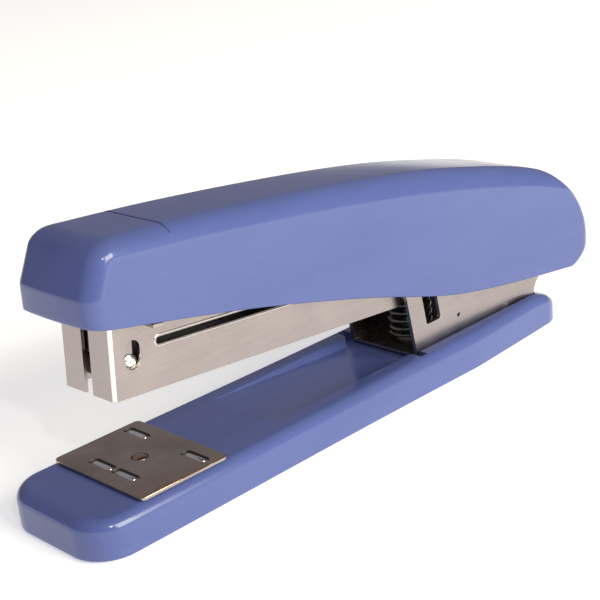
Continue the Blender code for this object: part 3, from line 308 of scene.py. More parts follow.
def mixed(tree, factor, a, b):
    """Two colours mixed by a factor."""
    made = add(tree, "ShaderNodeMix", data_type="RGBA")
    for index, value in ((0, factor), (6, a), (7, b)):
        feed(tree, made, index, value)
    return made.outputs[2]


def maths(tree, operation, a, b):
    """One step of arithmetic on sockets or numbers."""
    made = add(tree, "ShaderNodeMath", operation=operation)
    feed(tree, made, 0, a)
    feed(tree, made, 1, b)
    return made.outputs[0]


def build_handling():
    """Wear that every touched surface shares: cloudy grease, specks of dust and fine crossing scratches."""
    tree, given, result = node_group("handling", [("Cloud Scale", 60.0), ("Speck Scale", 900.0),
                                                  ("Scratch Scale", 260.0)], ["Cloud", "Specks", "Scratches"])
    where = add(tree, "ShaderNodeTexCoord").outputs["Object"]
    cloud = add(tree, "ShaderNodeTexNoise", [("Vector", where), ("Scale", given["Cloud Scale"])],
                Detail=4.0, Roughness=0.55)
    specks = add(tree, "ShaderNodeTexNoise", [("Vector", where), ("Scale", given["Speck Scale"])], Detail=2.0)
    tree.links.new(cloud.outputs["Fac"], result["Cloud"])
    tree.links.new(ramp(tree, specks.outputs["Fac"], (0.68, 0.0), (0.76, 1.0)), result["Specks"])
    total = 0.0
    for turn, stretch in ((0.35, (1, 0.03, 1)), (-0.9, (1, 0.04, 1)), (1.9, (0.05, 1, 1))):
        lie = add(tree, "ShaderNodeMapping", [("Vector", where)])
        lie.inputs["Rotation"].default_value = (turn * 0.5, turn, turn)
        lie.inputs["Scale"].default_value = stretch
        line = add(tree, "ShaderNodeTexNoise",
                   [("Vector", lie.outputs[0]), ("Scale", given["Scratch Scale"])], Detail=1.0)
        thin = ramp(tree, line.outputs["Fac"], (0.492, 0.0), (0.5, 1.0), (0.508, 0.0))
        gate = add(tree, "ShaderNodeTexNoise", [("Vector", where)], Scale=95.0 + 20 * turn, Detail=1.0)
        thin = maths(tree, "MULTIPLY", thin, ramp(tree, gate.outputs["Fac"], (0.56, 0.0), (0.66, 1.0)))
        total = maths(tree, "MAXIMUM", total, thin)
    tree.links.new(total, result["Scratches"])
    return tree


HANDLING = build_handling()


def build_edge_wear_and_highlight():
    """Where edges are paler, partly from wear and partly as a painted highlight: a narrow mask along each edge,
    broken up by a fine noise.
    """
    tree, given, result = node_group("edge_wear_and_highlight", [("Reach", 0.2 * mm), ("Break Up", 220.0)], ["Worn"])
    where = add(tree, "ShaderNodeTexCoord").outputs["Object"]
    edge_normal = add(tree, "ShaderNodeBevel", [("Radius", given["Reach"])], samples=4).outputs["Normal"]
    flat = add(tree, "ShaderNodeNewGeometry").outputs["Normal"]
    along_edge = add(tree, "ShaderNodeVectorMath", operation="DOT_PRODUCT")
    tree.links.new(edge_normal, along_edge.inputs[0])
    tree.links.new(flat, along_edge.inputs[1])
    patch = add(tree, "ShaderNodeTexNoise", [("Vector", where), ("Scale", given["Break Up"])], Detail=3.0)
    lifted = maths(tree, "MULTIPLY", maths(tree, "SUBTRACT", 0.99, along_edge.outputs["Value"]), 5.0)
    broken = maths(tree, "MULTIPLY", lifted, ramp(tree, patch.outputs["Fac"], (0.4, 0.15), (0.62, 1.0)))
    tree.links.new(add(tree, "ShaderNodeClamp", [("Value", broken)]).outputs[0], result["Worn"])
    return tree


EDGE_WEAR_AND_HIGHLIGHT = build_edge_wear_and_highlight()


def placed(tree, group, **values):
    """A shared group placed in a material, with that material's own values."""
    made = tree.nodes.new("ShaderNodeGroup")
    made.node_tree = group
    for label, value in values.items():
        made.inputs[label.replace("_", " ")].default_value = value
    return made.outputs


def finish(name, **plain):
    """A material with its Principled shader, and the values that are the same all over it."""
    made = bpy.data.materials.new(name)
    made.use_nodes = True
    shader = made.node_tree.nodes["Principled BSDF"]
    for label, value in plain.items():
        shader.inputs[label.replace("_", " ")].default_value = value
    return made, made.node_tree, shader.inputs


def raised(tree, shader, height, distance, strength):
    """A shallow relief on the surface."""
    bump = add(tree, "ShaderNodeBump", [("Height", height)], Strength=strength, Distance=distance)
    tree.links.new(bump.outputs["Normal"], shader["Normal"])


BLUE_DEEP, BLUE_MID, BLUE_PALE = (0.070, 0.091, 0.268), (0.076, 0.099, 0.285), (0.083, 0.107, 0.300)


def periwinkle():
    """Glossy blue ABS: faint pigment flow, a slight orange peel, dust, scratches, and paler edges that are
    partly wear and partly a painted highlight.
    """
    made, tree, shader = finish("periwinkle_abs", IOR=1.5)
    touch = placed(tree, HANDLING, Cloud_Scale=38.0, Speck_Scale=1100.0, Scratch_Scale=240.0)
    wear_and_highlight = placed(tree, EDGE_WEAR_AND_HIGHLIGHT, Reach=0.4 * mm, Break_Up=160.0)["Worn"]
    where = add(tree, "ShaderNodeTexCoord").outputs["Object"]
    flow_lie = add(tree, "ShaderNodeMapping", [("Vector", where)])
    flow_lie.inputs["Scale"].default_value = (0.25, 1, 1)
    flow = add(tree, "ShaderNodeTexNoise", [("Vector", flow_lie.outputs[0])], Scale=70.0, Detail=3.0,
               Distortion=0.6)
    body = ramp(tree, flow.outputs["Fac"], (0.3, BLUE_DEEP), (0.5, BLUE_MID), (0.72, BLUE_PALE))
    body = mixed(tree, maths(tree, "MULTIPLY", touch["Specks"], 0.05), body, (0.42, 0.45, 0.62))
    body = mixed(tree, maths(tree, "MULTIPLY", touch["Scratches"], 0.07), body, (0.2, 0.23, 0.46))
    # paler edges: partly wear, partly a painted highlight
    body = mixed(tree, maths(tree, "MULTIPLY", wear_and_highlight, 0.2), body, (0.2, 0.23, 0.46))
    tree.links.new(body, shader["Base Color"])
    gloss = ramp(tree, touch["Cloud"], (0.32, 0.13), (0.7, 0.2))
    gloss = maths(tree, "ADD", gloss, maths(tree, "MULTIPLY", touch["Scratches"], 0.07))
    gloss = maths(tree, "ADD", gloss, maths(tree, "MULTIPLY", wear_and_highlight, 0.12))
    tree.links.new(gloss, shader["Roughness"])
    peel = add(tree, "ShaderNodeTexNoise", [("Vector", where)], Scale=420.0, Detail=2.0)
    raised(tree, shader, maths(tree, "SUBTRACT", peel.outputs["Fac"], touch["Scratches"]), 0.01 * mm, 0.3)
    return made


PERIWINKLE = periwinkle()


def dress(piece, material, body, slot, *replaced):
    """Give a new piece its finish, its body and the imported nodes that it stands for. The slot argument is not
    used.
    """
    piece.data.materials.clear()
    piece.data.materials.append(material)
    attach(piece, body)
    if replaced:
        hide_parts(*replaced)
    return piece


dress(base, PERIWINKLE, "base", "blue_shell", "base_shell")

# ==== rubber sole ============================================================================
# A die-cut sheet of black rubber, pressed up into the hollow of the base. It has a finger hole under the
# anvil's button and a fine ribbed tread that keeps the stapler from sliding.


def sole_rubber():
    """Black rubber: a ribbed tread, a cloudy bloom and pale dust."""
    made, tree, shader = finish("sole_rubber", Specular_IOR_Level=0.35)
    touch = placed(tree, HANDLING, Cloud_Scale=90.0, Speck_Scale=700.0, Scratch_Scale=150.0)
    where = add(tree, "ShaderNodeTexCoord").outputs["Object"]
    ribs = add(tree, "ShaderNodeTexWave", [("Vector", where)], Scale=140.0, Distortion=0.2)
    body = ramp(tree, touch["Cloud"], (0.3, (0.013, 0.013, 0.014)), (0.75, (0.035, 0.034, 0.033)))
    body = mixed(tree, maths(tree, "MULTIPLY", touch["Specks"], 0.5), body, (0.11, 0.1, 0.09))
    tree.links.new(body, shader["Base Color"])
    tree.links.new(ramp(tree, touch["Cloud"], (0.3, 0.62), (0.8, 0.9)), shader["Roughness"])
    raised(tree, shader, ribs.outputs["Fac"], 0.12 * mm, 0.8)
    return made


FOLD_ROUNDING = 0.62 * mm


def finer(name, width, segments=2, turn=26, square_up=None, fold=None):
    """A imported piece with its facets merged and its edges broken: the same shape, with real edges."""
    shape = bmesh.new()
    shape.from_mesh(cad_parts[name].data)
    for vert in shape.verts:
        vert.co = square_up(vert.co) if square_up else vert.co
    bmesh.ops.remove_doubles(shape, verts=shape.verts, dist=0.002 * mm)
    bmesh.ops.dissolve_limit(shape, angle_limit=radians(1.2), verts=shape.verts, edges=shape.edges)
    if fold:
        rounding = bmesh.ops.bevel(shape, geom=[e for e in shape.edges if fold(e)], offset=FOLD_ROUNDING,
                                   segments=8, profile=0.5, affect="EDGES")
        for face in rounding["faces"]:
            face.material_index = 1
    made = made_piece(name + "_fine", shape)
    step = made.modifiers.new("broken_edges", "BEVEL")
    step.width, step.segments = width, segments
    step.limit_method, step.angle_limit = "ANGLE", radians(turn)
    step.use_clamp_overlap = True
    made.modifiers.new("flat_faces", "WEIGHTED_NORMAL").keep_sharp = True
    return made


dress(finer("rubber_sole", 0.15 * mm), sole_rubber(), "base", "black_rubber", "rubber_sole")

# ==== bracket, stiffener, rivets and hinge pin ===============================================
# The bracket is blanked and bent from 0.9 mm steel sheet, nickel plated, and riveted through the channel
# floor to a steel plate below. The pin through its ears carries the magazine and the cover's frame.


def build_rolling_marks():
    """The long fine marks that the mill leaves along sheet steel."""
    tree, given, result = node_group("rolling_marks", [("Grain Scale", 2600.0)], ["Grain"])
    where = add(tree, "ShaderNodeTexCoord").outputs["Object"]
    lie = add(tree, "ShaderNodeMapping", [("Vector", where)])
    lie.inputs["Scale"].default_value = (0.02, 1, 1)
    rolled = add(tree, "ShaderNodeTexNoise", [("Vector", lie.outputs[0]), ("Scale", given["Grain Scale"])],
                 Detail=3.0)
    tree.links.new(rolled.outputs["Fac"], result["Grain"])
    return tree


ROLLING_MARKS = build_rolling_marks()


def plated(name, low, mid, high, rough, grain, tarnish=0.35):
    """Nickel plate over drawn sheet: long rolling marks, a warm cloudy film, scratches, and bright edges that
    are partly wear and partly a painted highlight.
    """
    made, tree, shader = finish(name, Metallic=1.0)
    touch = placed(tree, HANDLING, Cloud_Scale=75.0, Speck_Scale=1300.0, Scratch_Scale=300.0)
    wear_and_highlight = placed(tree, EDGE_WEAR_AND_HIGHLIGHT, Reach=0.12 * mm, Break_Up=420.0)["Worn"]
    rolled = placed(tree, ROLLING_MARKS, Grain_Scale=2600.0)["Grain"]
    body = ramp(tree, touch["Cloud"], (0.3, low), (0.55, mid), (0.8, high))
    streak = maths(tree, "MULTIPLY", ramp(tree, rolled, (0.35, 0.0), (0.65, 1.0)), grain)
    body = mixed(tree, streak, body, tuple(c * 0.8 for c in low))
    body = mixed(tree, maths(tree, "MULTIPLY", touch["Specks"], tarnish), body, tuple(c * 0.55 for c in low))
    # near-white edges: partly wear, partly a painted highlight
    body = mixed(tree, maths(tree, "MULTIPLY", wear_and_highlight, 0.55), body, (0.86, 0.84, 0.81))
    tree.links.new(body, shader["Base Color"])
    dull = ramp(tree, touch["Cloud"], (0.3, rough * 0.8), (0.75, rough * 1.25))
    dull = maths(tree, "ADD", dull, maths(tree, "MULTIPLY", rolled, 0.08))
    dull = maths(tree, "ADD", dull, maths(tree, "MULTIPLY", touch["Scratches"], 0.18))
    tree.links.new(dull, shader["Roughness"])
    raised(tree, shader, maths(tree, "SUBTRACT", rolled, touch["Scratches"]), 0.006 * mm, 0.3)
    return made


NICKEL = plated("nickel_plate", (0.365, 0.315, 0.31), (0.40, 0.35, 0.345), (0.44, 0.39, 0.38), 0.25, 0.22)
INNER_STEEL = plated("inner_steel", (0.36, 0.33, 0.31), (0.42, 0.39, 0.37), (0.47, 0.44, 0.42),
                     0.36, 0.4, 0.6)
for name, metal, edge in (("rear_bracket", NICKEL, 0.16), ("hinge_pin", NICKEL, 0.2),
                          ("bracket_rivet_1", NICKEL, 0.12), ("bracket_rivet_2", NICKEL, 0.12),
                          ("base_stiffener", INNER_STEEL, 0.12)):
    dress(finer(name, edge * mm), metal, "base", "nickel_plate", name)

# ==== springs ================================================================================
# All four springs are wound from hard-drawn wire with closed end turns. The lift spring stands on the
# bracket's boss and holds the magazine's nose up off the anvil.


def drawn_wire():
    """Hard-drawn wire: bright, with darker cloudy patches, dust and scratches."""
    made, tree, shader = finish("spring_wire", Metallic=1.0)
    touch = placed(tree, HANDLING, Cloud_Scale=160.0, Speck_Scale=1500.0, Scratch_Scale=500.0)
    body = ramp(tree, touch["Cloud"], (0.3, (0.13, 0.135, 0.115)), (0.6, (0.24, 0.24, 0.21)),
                (0.85, (0.36, 0.35, 0.31)))
    body = mixed(tree, maths(tree, "MULTIPLY", touch["Specks"], 0.6), body, (0.07, 0.06, 0.05))
    tree.links.new(body, shader["Base Color"])
    tree.links.new(ramp(tree, touch["Cloud"], (0.3, 0.2), (0.8, 0.34)), shader["Roughness"])
    raised(tree, shader, touch["Scratches"], 0.01 * mm, 0.5)
    return made


SPRING_WIRE = drawn_wire()


def coil(low, high, turns, wire):
    """A spring standing between two corners of a box, with a closed turn at each end."""
    middle, radius = (low + high) / 2, (high.y - low.y) / 2 - wire
    steps, rows = turns * 40, []
    for i in range(steps + 1):
        turn, share = 2 * pi * i / 40, i / steps
        lead = 0.9 / turns
        if share < lead:
            rise = 0.06 * share / lead
        elif share > 1 - lead:
            rise = 0.94 + 0.06 * (share - 1 + lead) / lead
        else:
            rise = 0.06 + 0.88 * (share - lead) / (1 - 2 * lead)
        at = low.z + wire + (high.z - low.z - 2 * wire) * rise
        rows.append([(middle.x + (radius + wire * cos(t)) * cos(turn), (radius + wire * cos(t)) * sin(turn),
                      at + wire * sin(t)) for t in (2 * pi * k / 14 for k in range(14))])
    return bar(rows)


lift = made_piece("lift_spring_coil", coil(*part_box("lift_spring"), 8, 0.5 * mm), 60)
dress(lift, SPRING_WIRE, "base", "spring_steel", "lift_spring")
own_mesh(lift)


def wound(name, body):
    """A packed spring's own mesh as a new piece."""
    made = bpy.data.objects.new(name + "_coil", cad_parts[name].data.copy())
    made.data.shade_smooth()
    bpy.context.collection.objects.link(made)
    return dress(made, SPRING_WIRE, body, "spring_steel", name)


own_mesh(wound("anvil_spring", "anvil_button"))

# ==== magazine ===============================================================================
# A trough folded from one sheet of nickel-plated steel. The folds that close the nose leave a slot, and
# each side has a window over the driver, a pressed pip and a long slot with a rolled lip.
PIN = (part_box("hinge_pin")[0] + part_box("hinge_pin")[1]) / 2
TILT = radians(5.1)
NOSE = -128.8 * mm                       # the nose ahead of the pin, along the magazine
MAGAZINE_HALF = 7.8 * mm
TROUGH = Matrix.Translation(PIN) @ Matrix.Rotation(TILT, 4, "Y")


def square_nose(point):
    """The sheet's corners at the top and foot of the nose, made sharp so that the fold runs through."""
    p = TROUGH.inverted() @ point
    if p.x < NOSE + 0.31 * mm and (p.z < NOSE_FOOT + 0.31 * mm or p.z > NOSE_HEAD - 0.31 * mm):
        p = Vector((NOSE, p.y, NOSE_FOOT if p.z < 0 else NOSE_HEAD))
    return TROUGH @ p


def nose_fold(edge):
    """The two outer vertical folds of the nose."""
    ends = [TROUGH.inverted() @ v.co for v in edge.verts]
    near = 0.05 * mm
    return edge.calc_length() > 5 * mm and all(abs(p.x - NOSE) < near and abs(p.y) > MAGAZINE_HALF - near
                                               for p in ends)


NOSE_FOOT, NOSE_HEAD = -8.6 * mm, 8.9 * mm
# Nickel painted near white: a painted highlight on the magazine's folds, the window pips and the ridges in the
# anvil's grooves.
PAINTED_HIGHLIGHT_NICKEL = plated("painted_highlight_nickel", (0.78, 0.75, 0.72), (0.86, 0.84, 0.81), (0.92, 0.9, 0.88),
                   0.16, 0.1, 0.2)
magazine = finer("magazine", 0.09 * mm, square_up=square_nose, fold=nose_fold)
folds = [face.index for face in magazine.data.polygons if face.material_index == 1]
dress(magazine, NICKEL, "magazine", "nickel_plate", "magazine")
magazine.data.materials.append(PAINTED_HIGHLIGHT_NICKEL)        # the folds, painted near white as the highlight along the bends
for index in folds:
    magazine.data.polygons[index].material_index = 1


def wrapped(rows):
    """A skin through rows of points that close on themselves both ways."""
    shape = bmesh.new()
    rows = [[shape.verts.new(p) for p in row] for row in rows]
    count = len(rows[0])
    for low, high in zip(rows, rows[1:] + rows[:1]):
        for k in range(count):
            shape.faces.new((low[k], low[(k + 1) % count], high[(k + 1) % count], high[k]))
    bmesh.ops.recalc_face_normals(shape, faces=shape.faces)
    return shape


def rolled_lip(side):
    """A half-round lip pressed up round the long slot."""
    start, end, low, high = NOSE + 10.1 * mm, NOSE + 72.7 * mm, -0.35 * mm, 1.75 * mm
    outline = rounded([(start, low, 0.95 * mm), (end, low, 0.95 * mm), (end, high, 0.95 * mm),
                       (start, high, 0.95 * mm)], 8)
    line = []
    for (a, b), (c, d) in zip(outline, outline[1:] + outline[:1]):
        parts = max(1, round((abs(c - a) + abs(d - b)) / (2 * mm)))
        line += [(a + (c - a) * i / parts, b + (d - b) * i / parts) for i in range(parts)]
    rows = []
    for i, (a, b) in enumerate(line):
        back, ahead = line[i - 1], line[(i + 1) % len(line)]
        out = Vector((ahead[1] - back[1], back[0] - ahead[0])).normalized() * 0.28 * mm
        rows.append([TROUGH @ Vector((a + out.x * cos(t),
                                      side * (MAGAZINE_HALF + 0.16 * mm * sin(t) - 0.03 * mm),
                                      b + out.y * cos(t))) for t in (pi * k / 8 for k in range(9))])
    return made_piece(f"slot_lip_{'near' if side < 0 else 'far'}", wrapped(rows), 60)


def pressed_pip(side):
    """The round pip at the foot of the window, dished where the punch struck it."""
    radius, crown = 1.42 * mm, 0.62 * mm
    rings = []
    for i in range(1, 14):
        share = i / 13
        rise = crown * cos(share * pi / 2) - 0.34 * mm * exp(-(share / 0.3) ** 2)
        rings.append([TROUGH @ Vector((NOSE + 4.8 * mm + radius * share * cos(t),
                                       side * (MAGAZINE_HALF - 0.85 * mm + rise),
                                       -2.1 * mm + radius * share * sin(t)))
                      for t in (pi * k / 16 for k in range(32))])
    return made_piece(f"window_pip_{'near' if side < 0 else 'far'}", bar(rings), 50)


# Nickel painted brighter than the sheet: a painted highlight along the rolled lips.
LIP_BRIGHTENED_NICKEL = plated("rolled_lip_painted_bright", (0.52, 0.47, 0.45), (0.58, 0.53, 0.51), (0.64, 0.59, 0.57),
                    0.18, 0.1, 0.2)
for side in (-1, 1):
    dress(rolled_lip(side), LIP_BRIGHTENED_NICKEL, "magazine", "nickel_plate")
    # the pips carry a painted highlight: near-white nickel
    dress(pressed_pip(side), PAINTED_HIGHLIGHT_NICKEL, "magazine", "nickel_plate")

# ==== spring between magazine and cover ======================================================
# A torsion spring round the hinge pin. Its lower arm lies on the magazine's floor, and its upper arm
# stands under the cover's frame, a stroke below it.
ARM_ROOT, ARM_RUN, ARM_DROP = -3 * mm, 24 * mm, 1.9 * mm
cover_spring = wound("cover_spring", "magazine")
for vert in cover_spring.data.vertices:
    p = TROUGH.inverted() @ vert.co
    if p.y < 0 and p.x < ARM_ROOT:
        vert.co = TROUGH @ (p - Vector((0, 0, ARM_DROP)) * min(1, (ARM_ROOT - p.x) / ARM_RUN))

# ==== rail, rod and pusher ===================================================================
# The staples sit astride a folded steel rail, riveted to the magazine's floor. A saddle pushes them to
# the nose, guided by an eye on the rod inside the rail and driven by a long thin spring.
for name, body in (("staple_rail", "magazine"), ("rail_rivet_1", "magazine"), ("rail_rivet_2", "magazine"),
                   ("pusher_rod", "magazine"), ("pusher", "pusher")):
    metal = INNER_STEEL if name == "staple_rail" else NICKEL
    dress(finer(name, 0.06 * mm), metal, body, "nickel_plate", name)
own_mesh(wound("pusher_spring", "magazine"))

# ==== anvil ==================================================================================
# A hardened plate, polished and dark plated, with two pairs of oval grooves that curl the staple's legs.
# Its shaft runs down through the base to a black button, on which it lifts and turns for pinning.


def dark_plating():
    """Black-nickel mirror: fine polishing lines, brown cloud, a bright rim that is partly wear and partly a
    painted highlight, and a few staple marks.
    """
    made, tree, shader = finish("dark_plate", Metallic=1.0)
    touch = placed(tree, HANDLING, Cloud_Scale=95.0, Speck_Scale=1200.0, Scratch_Scale=360.0)
    wear_and_highlight = placed(tree, EDGE_WEAR_AND_HIGHLIGHT, Reach=0.12 * mm, Break_Up=500.0)["Worn"]
    body = ramp(tree, touch["Cloud"], (0.3, (0.38, 0.30, 0.25)), (0.55, (0.46, 0.37, 0.31)),
                (0.8, (0.53, 0.44, 0.38)))
    body = mixed(tree, maths(tree, "MULTIPLY", touch["Scratches"], 0.5), body, (0.46, 0.42, 0.38))
    body = mixed(tree, maths(tree, "MULTIPLY", touch["Specks"], 0.35), body, (0.09, 0.07, 0.06))
    # near-white rim: partly wear, partly a painted highlight
    body = mixed(tree, maths(tree, "MULTIPLY", wear_and_highlight, 0.85), body, (0.85, 0.83, 0.8))
    tree.links.new(body, shader["Base Color"])
    dull = ramp(tree, touch["Cloud"], (0.3, 0.07), (0.8, 0.15))
    dull = maths(tree, "ADD", dull, maths(tree, "MULTIPLY", touch["Scratches"], 0.2))
    tree.links.new(dull, shader["Roughness"])
    raised(tree, shader, touch["Scratches"], 0.01 * mm, 0.4)
    return made


DARK_PLATE = dark_plating()
PLATE_LOW, PLATE_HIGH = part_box("anvil_plate")
LANDING = 6.38 * mm                      # from the shaft to the middle of each pair of grooves
GROOVE_LENGTH, GROOVE_WIDTH, GROOVE_DEPTH = 7.4 * mm, 2.5 * mm, 0.34 * mm
RIDGE_LENGTH, RIDGE_WIDTH = 5.6 * mm, 1.3 * mm
COLLAR, NECK, DOME_HEIGHT = 1.6 * mm, 1.1 * mm, 0.62 * mm       # of the shaft
GROOVES = [(-LANDING, -3.7 * mm), (-LANDING, 3.7 * mm), (LANDING, -9.1 * mm), (LANDING, 9.1 * mm)]


def anvil_blank():
    """The plate: square below, with its upper edge broken to a small radius and its corners rounded."""
    half_x, half_y, rim, corner = (PLATE_HIGH.x - PLATE_LOW.x) / 2, PLATE_HIGH.y, 0.2 * mm, 1.2 * mm
    rings = []
    for i in range(6):
        inset = rim * (1 - cos(pi / 2 * i / 5))
        outline = rounded([(ANVIL_X + sx * (half_x - inset), sy * (half_y - inset), corner - inset)
                           for sx, sy in ((-1, -1), (1, -1), (1, 1), (-1, 1))], 8)
        rings.append([(x, y, PLATE_HIGH.z - rim * (1 - sin(pi / 2 * i / 5))) for x, y in outline])
    return bar([[(x, y, PLATE_LOW.z) for x, y, z in rings[0]]] + rings)


def obround(x, y, length, width, low, high, lean):
    """A long-ended block, wider above by its lean: a groove's tool, or the ridge inside it."""
    rings = []
    for height, grow in ((low, -lean), (low + (high - low) * 0.25, -lean * 0.45), (high, 0)):
        half, reach = width / 2 + grow, length / 2 - width / 2
        outline = [(a, b + reach) for a, b in arc((0, 0), half, 0, pi, 12)]
        outline += [(a, b - reach) for a, b in arc((0, 0), half, pi, 2 * pi, 12)]
        rings.append([(ANVIL_X + x + a, y + b, height) for a, b in outline])
    return bar(rings)


anvil = made_piece("anvil_striking_plate", anvil_blank())
carve(anvil, *[obround(x, y, GROOVE_LENGTH, GROOVE_WIDTH, PLATE_HIGH.z - GROOVE_DEPTH,
                       PLATE_HIGH.z + 0.03 * mm, 0.14 * mm) for x, y in GROOVES],
      upright(disc(ANVIL_X, 0, SHAFT_HOLE), 0, 20 * mm),
      upright(disc(ANVIL_X, 0, 1.75 * mm), PLATE_LOW.z + 0.2 * mm, 20 * mm))
dress(anvil, DARK_PLATE, "anvil", "dark_chrome", "anvil_plate")


def groove_wall_shade():
    """Painted shade, near black and dull, along the walls of the grooves."""
    made, tree, shader = finish("groove_wall_shade")
    touch = placed(tree, HANDLING, Cloud_Scale=400.0, Speck_Scale=1600.0, Scratch_Scale=500.0)
    tree.links.new(ramp(tree, touch["Cloud"], (0.35, (0.012, 0.01, 0.009)), (0.8, (0.05, 0.042, 0.036))),
                   shader["Base Color"])
    tree.links.new(ramp(tree, touch["Cloud"], (0.3, 0.35), (0.8, 0.7)), shader["Roughness"])
    raised(tree, shader, touch["Cloud"], 0.02 * mm, 0.7)
    return made


# Painted shade on the walls inside the grooves and the shaft hole.
anvil.data.materials.append(groove_wall_shade())
for face in anvil.data.polygons:
    inside = abs(face.center.x - ANVIL_X) < 9.6 * mm and abs(face.center.y) < PLATE_HIGH.y - 0.8 * mm
    face.material_index = 1 if inside and abs(face.normal.z) < 0.9 else 0
for index, (x, y) in enumerate(GROOVES):
    ridge = made_piece(f"groove_ridge_{index + 1}", obround(x + 0.1 * mm, y, RIDGE_LENGTH, RIDGE_WIDTH,
                                                            PLATE_HIGH.z - 0.06 * mm, PLATE_HIGH.z - 0.4 * mm,
                                                            0.3 * mm), 60)
    # the ridges carry a painted highlight: near-white nickel
    dress(ridge, PAINTED_HIGHLIGHT_NICKEL, "anvil", "dark_chrome")


def lathed(profile, sides=40):
    """A turned piece on the anvil's axis, through (radius, height) points, closed at both ends."""
    return bar([[(ANVIL_X + r * cos(t), r * sin(t), z) for t in (2 * pi * k / sides for k in range(sides))]
                for r, z in profile])


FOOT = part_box("anvil_shaft")[0].z
SEAT = PLATE_LOW.z + 0.35 * mm
dome = [(COLLAR * cos(a), SEAT + DOME_HEIGHT * sin(a)) for a in (pi / 2 * i / 10 for i in range(10))]
shaft = lathed([(COLLAR, FOOT), (COLLAR, FOOT + 0.6 * mm), (NECK, FOOT + 0.62 * mm),
                (NECK, SEAT - 0.02 * mm), (COLLAR, SEAT - 0.01 * mm)] + dome)
WORN_RIVET = plated("worn_rivet", (0.40, 0.26, 0.19), (0.49, 0.33, 0.25), (0.58, 0.41, 0.32), 0.2, 0.15)
dress(made_piece("anvil_rivet", shaft, 40), WORN_RIVET, "anvil", "dark_chrome", "anvil_shaft")


def button_plastic():
    """Black plastic with a satin skin and fine scratches."""
    made, tree, shader = finish("button_plastic")
    touch = placed(tree, HANDLING, Cloud_Scale=140.0, Speck_Scale=1200.0, Scratch_Scale=300.0)
    body = ramp(tree, touch["Cloud"], (0.3, (0.017, 0.017, 0.019)), (0.8, (0.04, 0.04, 0.043)))
    body = mixed(tree, maths(tree, "MULTIPLY", touch["Scratches"], 0.4), body, (0.12, 0.12, 0.12))
    tree.links.new(body, shader["Base Color"])
    tree.links.new(ramp(tree, touch["Cloud"], (0.3, 0.34), (0.8, 0.52)), shader["Roughness"])
    raised(tree, shader, touch["Scratches"], 0.02 * mm, 0.6)
    return made


dress(finer("anvil_button", 0.25 * mm, 4), button_plastic(), "anvil_button", "black_plastic", "anvil_button")

# ==== steel frame and driver =================================================================
# Under the cover a folded steel channel turns on the pin and carries the driver, a hardened blade whose
# ears slide inside the magazine. Its two tabs fold under the cover's edge and hold the moulding on.
for name, metal, slot, edge in (("handle_frame", INNER_STEEL, "nickel_plate", 0.1),
                                ("driver", NICKEL, "dark_chrome", 0.06),
                                ("driver_rivet", INNER_STEEL, "nickel_plate", 0.08)):
    dress(finer(name, edge * mm), metal, "cover", slot, name)

# ==== cover ==================================================================================
# A long hollow moulding in the same periwinkle ABS, clipped over the steel frame. Its front leans back
# above an upright lip, its top rolls over the hinge, and a shallow step crosses it behind the nose.
COVER = Matrix.Translation(PIN) @ Matrix.Rotation(TILT + radians(1.75), 4, "Y")
REACH, TAIL = 135 * mm, 15.5 * mm
COVER_HALF, COVER_TAPER, COVER_WALL, COVER_FILLET = 12.3 * mm, 0.6 * mm, 1.6 * mm, 4.4 * mm
LIP, FULLEST = 0.34, 0.24
EDGE_LINE = ((0, 3.2), (0.25, -0.2), (0.45, -4.3), (0.65, -9.5), (0.77, -10.7), (1, -11.3))
CROWN_LINE = ((0, 18.4), (0.18, 19.6), (0.36, 20), (0.5, 19.8), (0.61, 19.1), (0.72, 17.6), (0.84, 15.2),
              (0.91, 12.9), (1, 9.5))


def along(points, share):
    """Height in metres at a share of the length, on a smooth line through (share, millimetre) points."""
    for i in range(len(points) - 1):
        if share <= points[i + 1][0] or i == len(points) - 2:
            break
    slopes = [(q[1] - p[1]) / (q[0] - p[0]) for p, q in zip(points, points[1:])]

    def slope(k):
        if k in (0, len(points) - 1):
            return slopes[min(k, len(slopes) - 1)]
        return (slopes[k - 1] + slopes[k]) / 2
    (start, low), (end, high) = points[i], points[i + 1]
    run, t = end - start, (share - start) / (end - start)
    return mm * (low * (1 + 2 * t) * (1 - t) ** 2 + high * t * t * (3 - 2 * t)
                 + run * slope(i) * t * (1 - t) ** 2 - run * slope(i + 1) * t * t * (1 - t))


def cover_share(x):
    """How far back a place on the cover lies, as a share of its length."""
    return (x + REACH) / (REACH + TAIL)


def front_face(share):
    """The upright lip and the leaning face, which meet in a soft crease."""
    soft = 0.035
    lip, face = 0.5 * mm / LIP, 3.1 * mm / (1 - LIP)
    if share < LIP - soft:
        return -REACH - lip * share
    if share > LIP + soft:
        return -REACH - 0.5 * mm + face * (share - LIP)
    t = (share - LIP + soft) / (2 * soft)
    return -REACH - 0.5 * mm + lip * soft * (1 - t) ** 2 + face * soft * t ** 2


def rear_face(share):
    """The tail's outline, drawn in towards its edge and towards its crown."""
    if share < FULLEST:
        return TAIL - 5 * mm * (1 - share / FULLEST) ** 2
    return TAIL - 13 * mm * ((share - FULLEST) / (1 - FULLEST)) ** 2.7


def cover_ring(share, inset, drop, lift=0.0):
    """One level of the wall, a share of the way from edge to crown."""
    half = COVER_HALF - COVER_TAPER * share - inset
    plan = half_plan(front_face(share) + inset, rear_face(share) - inset, half, half,
                     max(3.4 * mm - min(inset, 2 * mm), 1.2 * mm),
                     max(3.6 * mm - min(inset, 2 * mm), 1.2 * mm), bow=0.9 * mm, steps=80)

    def height(x):
        low, top = along(EDGE_LINE, cover_share(x)), along(CROWN_LINE, cover_share(x)) - drop
        return low + (top - low) * share + lift
    return [tuple(COVER @ Vector(p)) for p in whole_ring(plan, height)]


